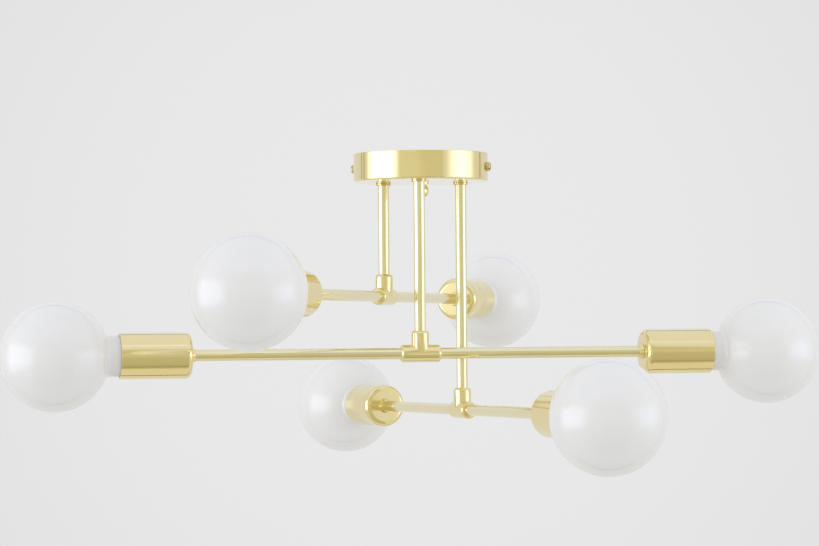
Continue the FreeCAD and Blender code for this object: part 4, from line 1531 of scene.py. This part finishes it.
@dataclass
class Studio:
    """Camera, lamps, cards, floor and surroundings."""

    frame_width: float = 819.0
    sensor_width: float = 36.0
    focal_pixels: float = 2979.97
    clip_start: float = 0.05
    clip_end: float = 60.0
    camera_place: Place = (10.91, -2652.78, -166.25)
    yaw: float = -0.47
    pitch: float = 1.30
    roll: float = -0.48
    turn: float = 12.25
    distance: float = 2.4
    centre_up: float = -0.17
    half_blend: float = 0.25
    floor_height: float = -4.2
    floor_radius: float = 9.0
    floor_steps: int = 96
    floor_tone: Colour = (0.78, 0.768, 0.705)
    floor_speckle: Colour = (0.7, 0.69, 0.64)
    floor_matt: Colour = (0.78, 0.775, 0.76)
    speckle_share: float = 0.06
    backdrop: Colour = (0.812, 0.812, 0.812)
    backdrop_edge: Colour = (0.765, 0.765, 0.765)
    backdrop_spread: float = 0.984
    ceiling_tone: Colour = (0.84, 0.87, 0.98)
    ceiling_start: float = 0.2
    ceiling_full: float = 0.6
    fill: float = 0.9

    def camera_axes(self) -> tuple[Vector, Vector, Vector]:
        """The camera's own axes.

        Returns:
            Its right, its up and the way that it looks.
        """
        yaw, pitch, roll = (math.radians(angle) for angle in (self.yaw, self.pitch, self.roll))
        ahead = Vector(
            (math.sin(yaw) * math.cos(pitch), math.cos(yaw) * math.cos(pitch), math.sin(pitch))
        )
        right = Vector((math.cos(yaw), -math.sin(yaw), 0.0))
        up = right.cross(ahead)
        rolled_right = right * math.cos(roll) + up * math.sin(roll)
        rolled_up = up * math.cos(roll) - right * math.sin(roll)
        turn = Matrix.Rotation(math.radians(self.turn), 3, "Z")
        return turn @ rolled_right, turn @ rolled_up, turn @ ahead

    def build_camera(self) -> None:
        """Put the camera where the picture was taken from."""
        right, up, ahead = self.camera_axes()
        turn = Matrix.Rotation(math.radians(self.turn), 3, "Z")
        data = bpy.data.cameras.new("camera")
        data.sensor_width = self.sensor_width
        data.lens = self.focal_pixels / self.frame_width * self.sensor_width
        data.clip_start = self.clip_start
        data.clip_end = self.clip_end
        camera = bpy.data.objects.new("camera", data)
        basis = Matrix((right, up, -ahead)).transposed().to_4x4()
        camera.matrix_world = Matrix.Translation(turn @ (Vector(self.camera_place) * MM)) @ basis
        bpy.context.scene.collection.objects.link(camera)
        bpy.context.scene.camera = camera

    def facing(self, panel: Panel) -> Matrix:
        """Where a panel stands, at the studio's distance.

        Args:
            panel: The panel.

        Returns:
            A matrix whose -Z looks at the light and whose Y is up.
        """
        right, _, ahead = self.camera_axes()
        back = Vector((-ahead.x, -ahead.y, 0.0)).normalized()
        side = Vector((right.x, right.y, 0.0)).normalized()
        around, up = math.radians(panel.around), math.radians(panel.up)
        level = back * math.cos(around) + side * math.sin(around)
        ray = level * math.cos(up) + Vector((0.0, 0.0, math.sin(up)))
        turn = ray.to_track_quat("Z", "Y").to_matrix().to_4x4()
        return Matrix.Translation(Vector((0.0, 0.0, self.centre_up)) + ray * self.distance) @ turn

    def card_material(self, card: Card) -> bpy.types.Material:
        """A card's glow: its tones, its sweep and its soft edges.

        Args:
            card: The card.

        Returns:
            The material.
        """
        width, height = card.size(self.distance)
        material, graph = new_material(card.name)
        place = graph.add("SeparateXYZ", {0: graph.place()}).outputs
        across = graph.math("DIVIDE", place["X"], width / 2.0)
        upward = graph.math("DIVIDE", place["Y"], height / 2.0)
        raised = graph.math("ADD", graph.math("MULTIPLY", upward, 0.5), 0.5)
        ramp = graph.add("ValToRGB", {"Fac": raised})
        ramp.color_ramp.interpolation = "EASE"
        elements = ramp.color_ramp.elements
        while len(elements) < len(card.tones):
            elements.new(0.5)
        for element, (stop, colour) in zip(elements, card.tones, strict=True):
            element.position = stop
            element.color = (*colour, 1.0)
        tint = graph.blend(graph.spread(across, -self.half_blend, self.half_blend), *card.sweep)
        tone = graph.add("VectorMath", {0: ramp.outputs["Color"], 1: tint}, operation="MULTIPLY")
        glow = graph.add("Emission", {"Color": tone.outputs[0], "Strength": card.strength})
        clear = graph.add("BsdfTransparent")
        sides, ends = (
            graph.spread(graph.math("ABSOLUTE", where), 1.0 - fade, 1.0, 1.0, 0.0)
            for where, fade in ((across, card.side_fade), (upward, card.end_fade))
        )
        solid = graph.math("MULTIPLY", sides, ends)
        graph.show("OutputMaterial", solid, clear.outputs[0], glow.outputs[0])
        return material

    def build_card(self, card: Card) -> None:
        """Build one card.

        Args:
            card: The card.
        """
        select_only()
        bpy.ops.mesh.primitive_grid_add(x_subdivisions=1, y_subdivisions=1, size=1.0)
        piece = bpy.context.active_object
        piece.name = card.name
        bpy.ops.transform.resize(value=(*card.size(self.distance), 1.0))
        bpy.ops.object.transform_apply(location=True, rotation=True, scale=True)
        piece.matrix_world = self.facing(card)
        piece.data.materials.append(self.card_material(card))
        for ray in ("camera", "diffuse", "shadow", "transmission"):
            setattr(piece, f"visible_{ray}", False)

    def build_soft_box(self, box: SoftBox) -> None:
        """Build one soft lamp.

        Args:
            box: The lamp.
        """
        data = bpy.data.lights.new(box.name, "AREA")
        data.shape = "RECTANGLE"
        data.size, data.size_y = box.size(self.distance)
        data.energy = box.radiance * math.pi * data.size * data.size_y
        lamp = bpy.data.objects.new(box.name, data)
        lamp.matrix_world = self.facing(box)
        lamp.visible_camera = False
        lamp.visible_glossy = False
        bpy.context.scene.collection.objects.link(lamp)

    def build_floor(self) -> None:
        """A plain pale floor, far enough down to look at the light from below."""
        select_only()
        bpy.ops.mesh.primitive_circle_add(
            vertices=self.floor_steps,
            radius=self.floor_radius,
            fill_type="NGON",
            location=(0.0, 0.0, self.floor_height),
        )
        floor = bpy.context.active_object
        floor.name = "floor"
        material, graph = new_material("floor")
        speckle = graph.math("MULTIPLY", graph.noise(graph.place(), 3.0, 4.0), self.speckle_share)
        tone = graph.blend(speckle, self.floor_tone, self.floor_speckle)
        glow = graph.add("Emission", {"Color": tone, "Strength": 1.0}).outputs[0]
        matt = graph.add("BsdfDiffuse", {"Color": self.floor_matt}).outputs[0]
        graph.show("OutputMaterial", graph.looked_at(), matt, glow)
        floor.data.materials.append(material)

    def build_world(self) -> None:
        """A pale surrounding, lightest behind the light, and a plain even fill."""
        world = bpy.data.worlds.new("studio")
        bpy.context.scene.world = world
        world.use_nodes = True
        graph = Graph(world.node_tree)
        where = graph.add("TexCoord").outputs["Generated"]
        _, _, ahead = self.camera_axes()
        aligned = graph.add("VectorMath", {0: where, 1: tuple(ahead)}, operation="DOT_PRODUCT")
        fade = graph.spread(aligned.outputs["Value"], self.backdrop_spread, 1.0, 1.0, 0.0)
        level = graph.blend(fade, self.backdrop, self.backdrop_edge)
        height = graph.add("SeparateXYZ", {0: where}).outputs["Z"]
        raised = graph.spread(height, self.ceiling_start, self.ceiling_full)
        above = graph.blend(raised, level, self.ceiling_tone)
        glossy = graph.add("LightPath").outputs["Is Glossy Ray"]
        tone = graph.blend(glossy, level, above)
        shown = graph.add("Background", {"Color": tone, "Strength": 1.0}).outputs[0]
        fill = graph.add("Background", {"Color": WHITE, "Strength": self.fill}).outputs[0]
        graph.show("OutputWorld", graph.looked_at(), fill, shown)

    def build(self) -> None:
        """Build the whole studio."""
        bpy.context.scene.view_settings.view_transform = "Standard"
        self.build_camera()
        self.build_world()
        self.build_floor()
        for box in SOFT_BOXES:
            self.build_soft_box(box)
        for card in CARDS:
            self.build_card(card)


# ----------------------------------------- The light -----------------------------------------

CARRIED_OVER = {
    "lamp_holder_left": "holder_plastic",
    "lamp_holder_right": "holder_plastic",
    "holder_contacts": "contact_brass",
    "lamp_bases": "base_metal",
    "lamp_leds": "white_plastic",
    "wiring": "cable_sheath",
}


def main() -> None:
    """Build the studio and the light around its frame."""
    logging.basicConfig(level=logging.INFO, format="%(name)s: %(message)s")
    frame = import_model()
    Studio().build()
    finishes = Finishes()
    for kind in (Canopy, BallFinial, SwivelBushes, CeilingFittings):
        kind(finishes).build()
    tee = Tee().build()
    finishes.dress(tee, "polished_brass")
    parts = {"tee": tee, **LampArm().build(finishes)}
    tiers = (
        Tier(finishes, "upper", 126.5, 83.5),
        Tier(finishes, "middle", 177.5, 25.5),
        Tier(finishes, "lower", 228.5, 123.0),
    )
    for tier in tiers:
        tier.build(parts)
        for label, name in CARRIED_OVER.items():
            finishes.dress_node(frame["nodes"][f"{tier.name}_{label}"], name)
    discard(*parts.values())
    select_only()


if __name__ == "__main__":
    main()
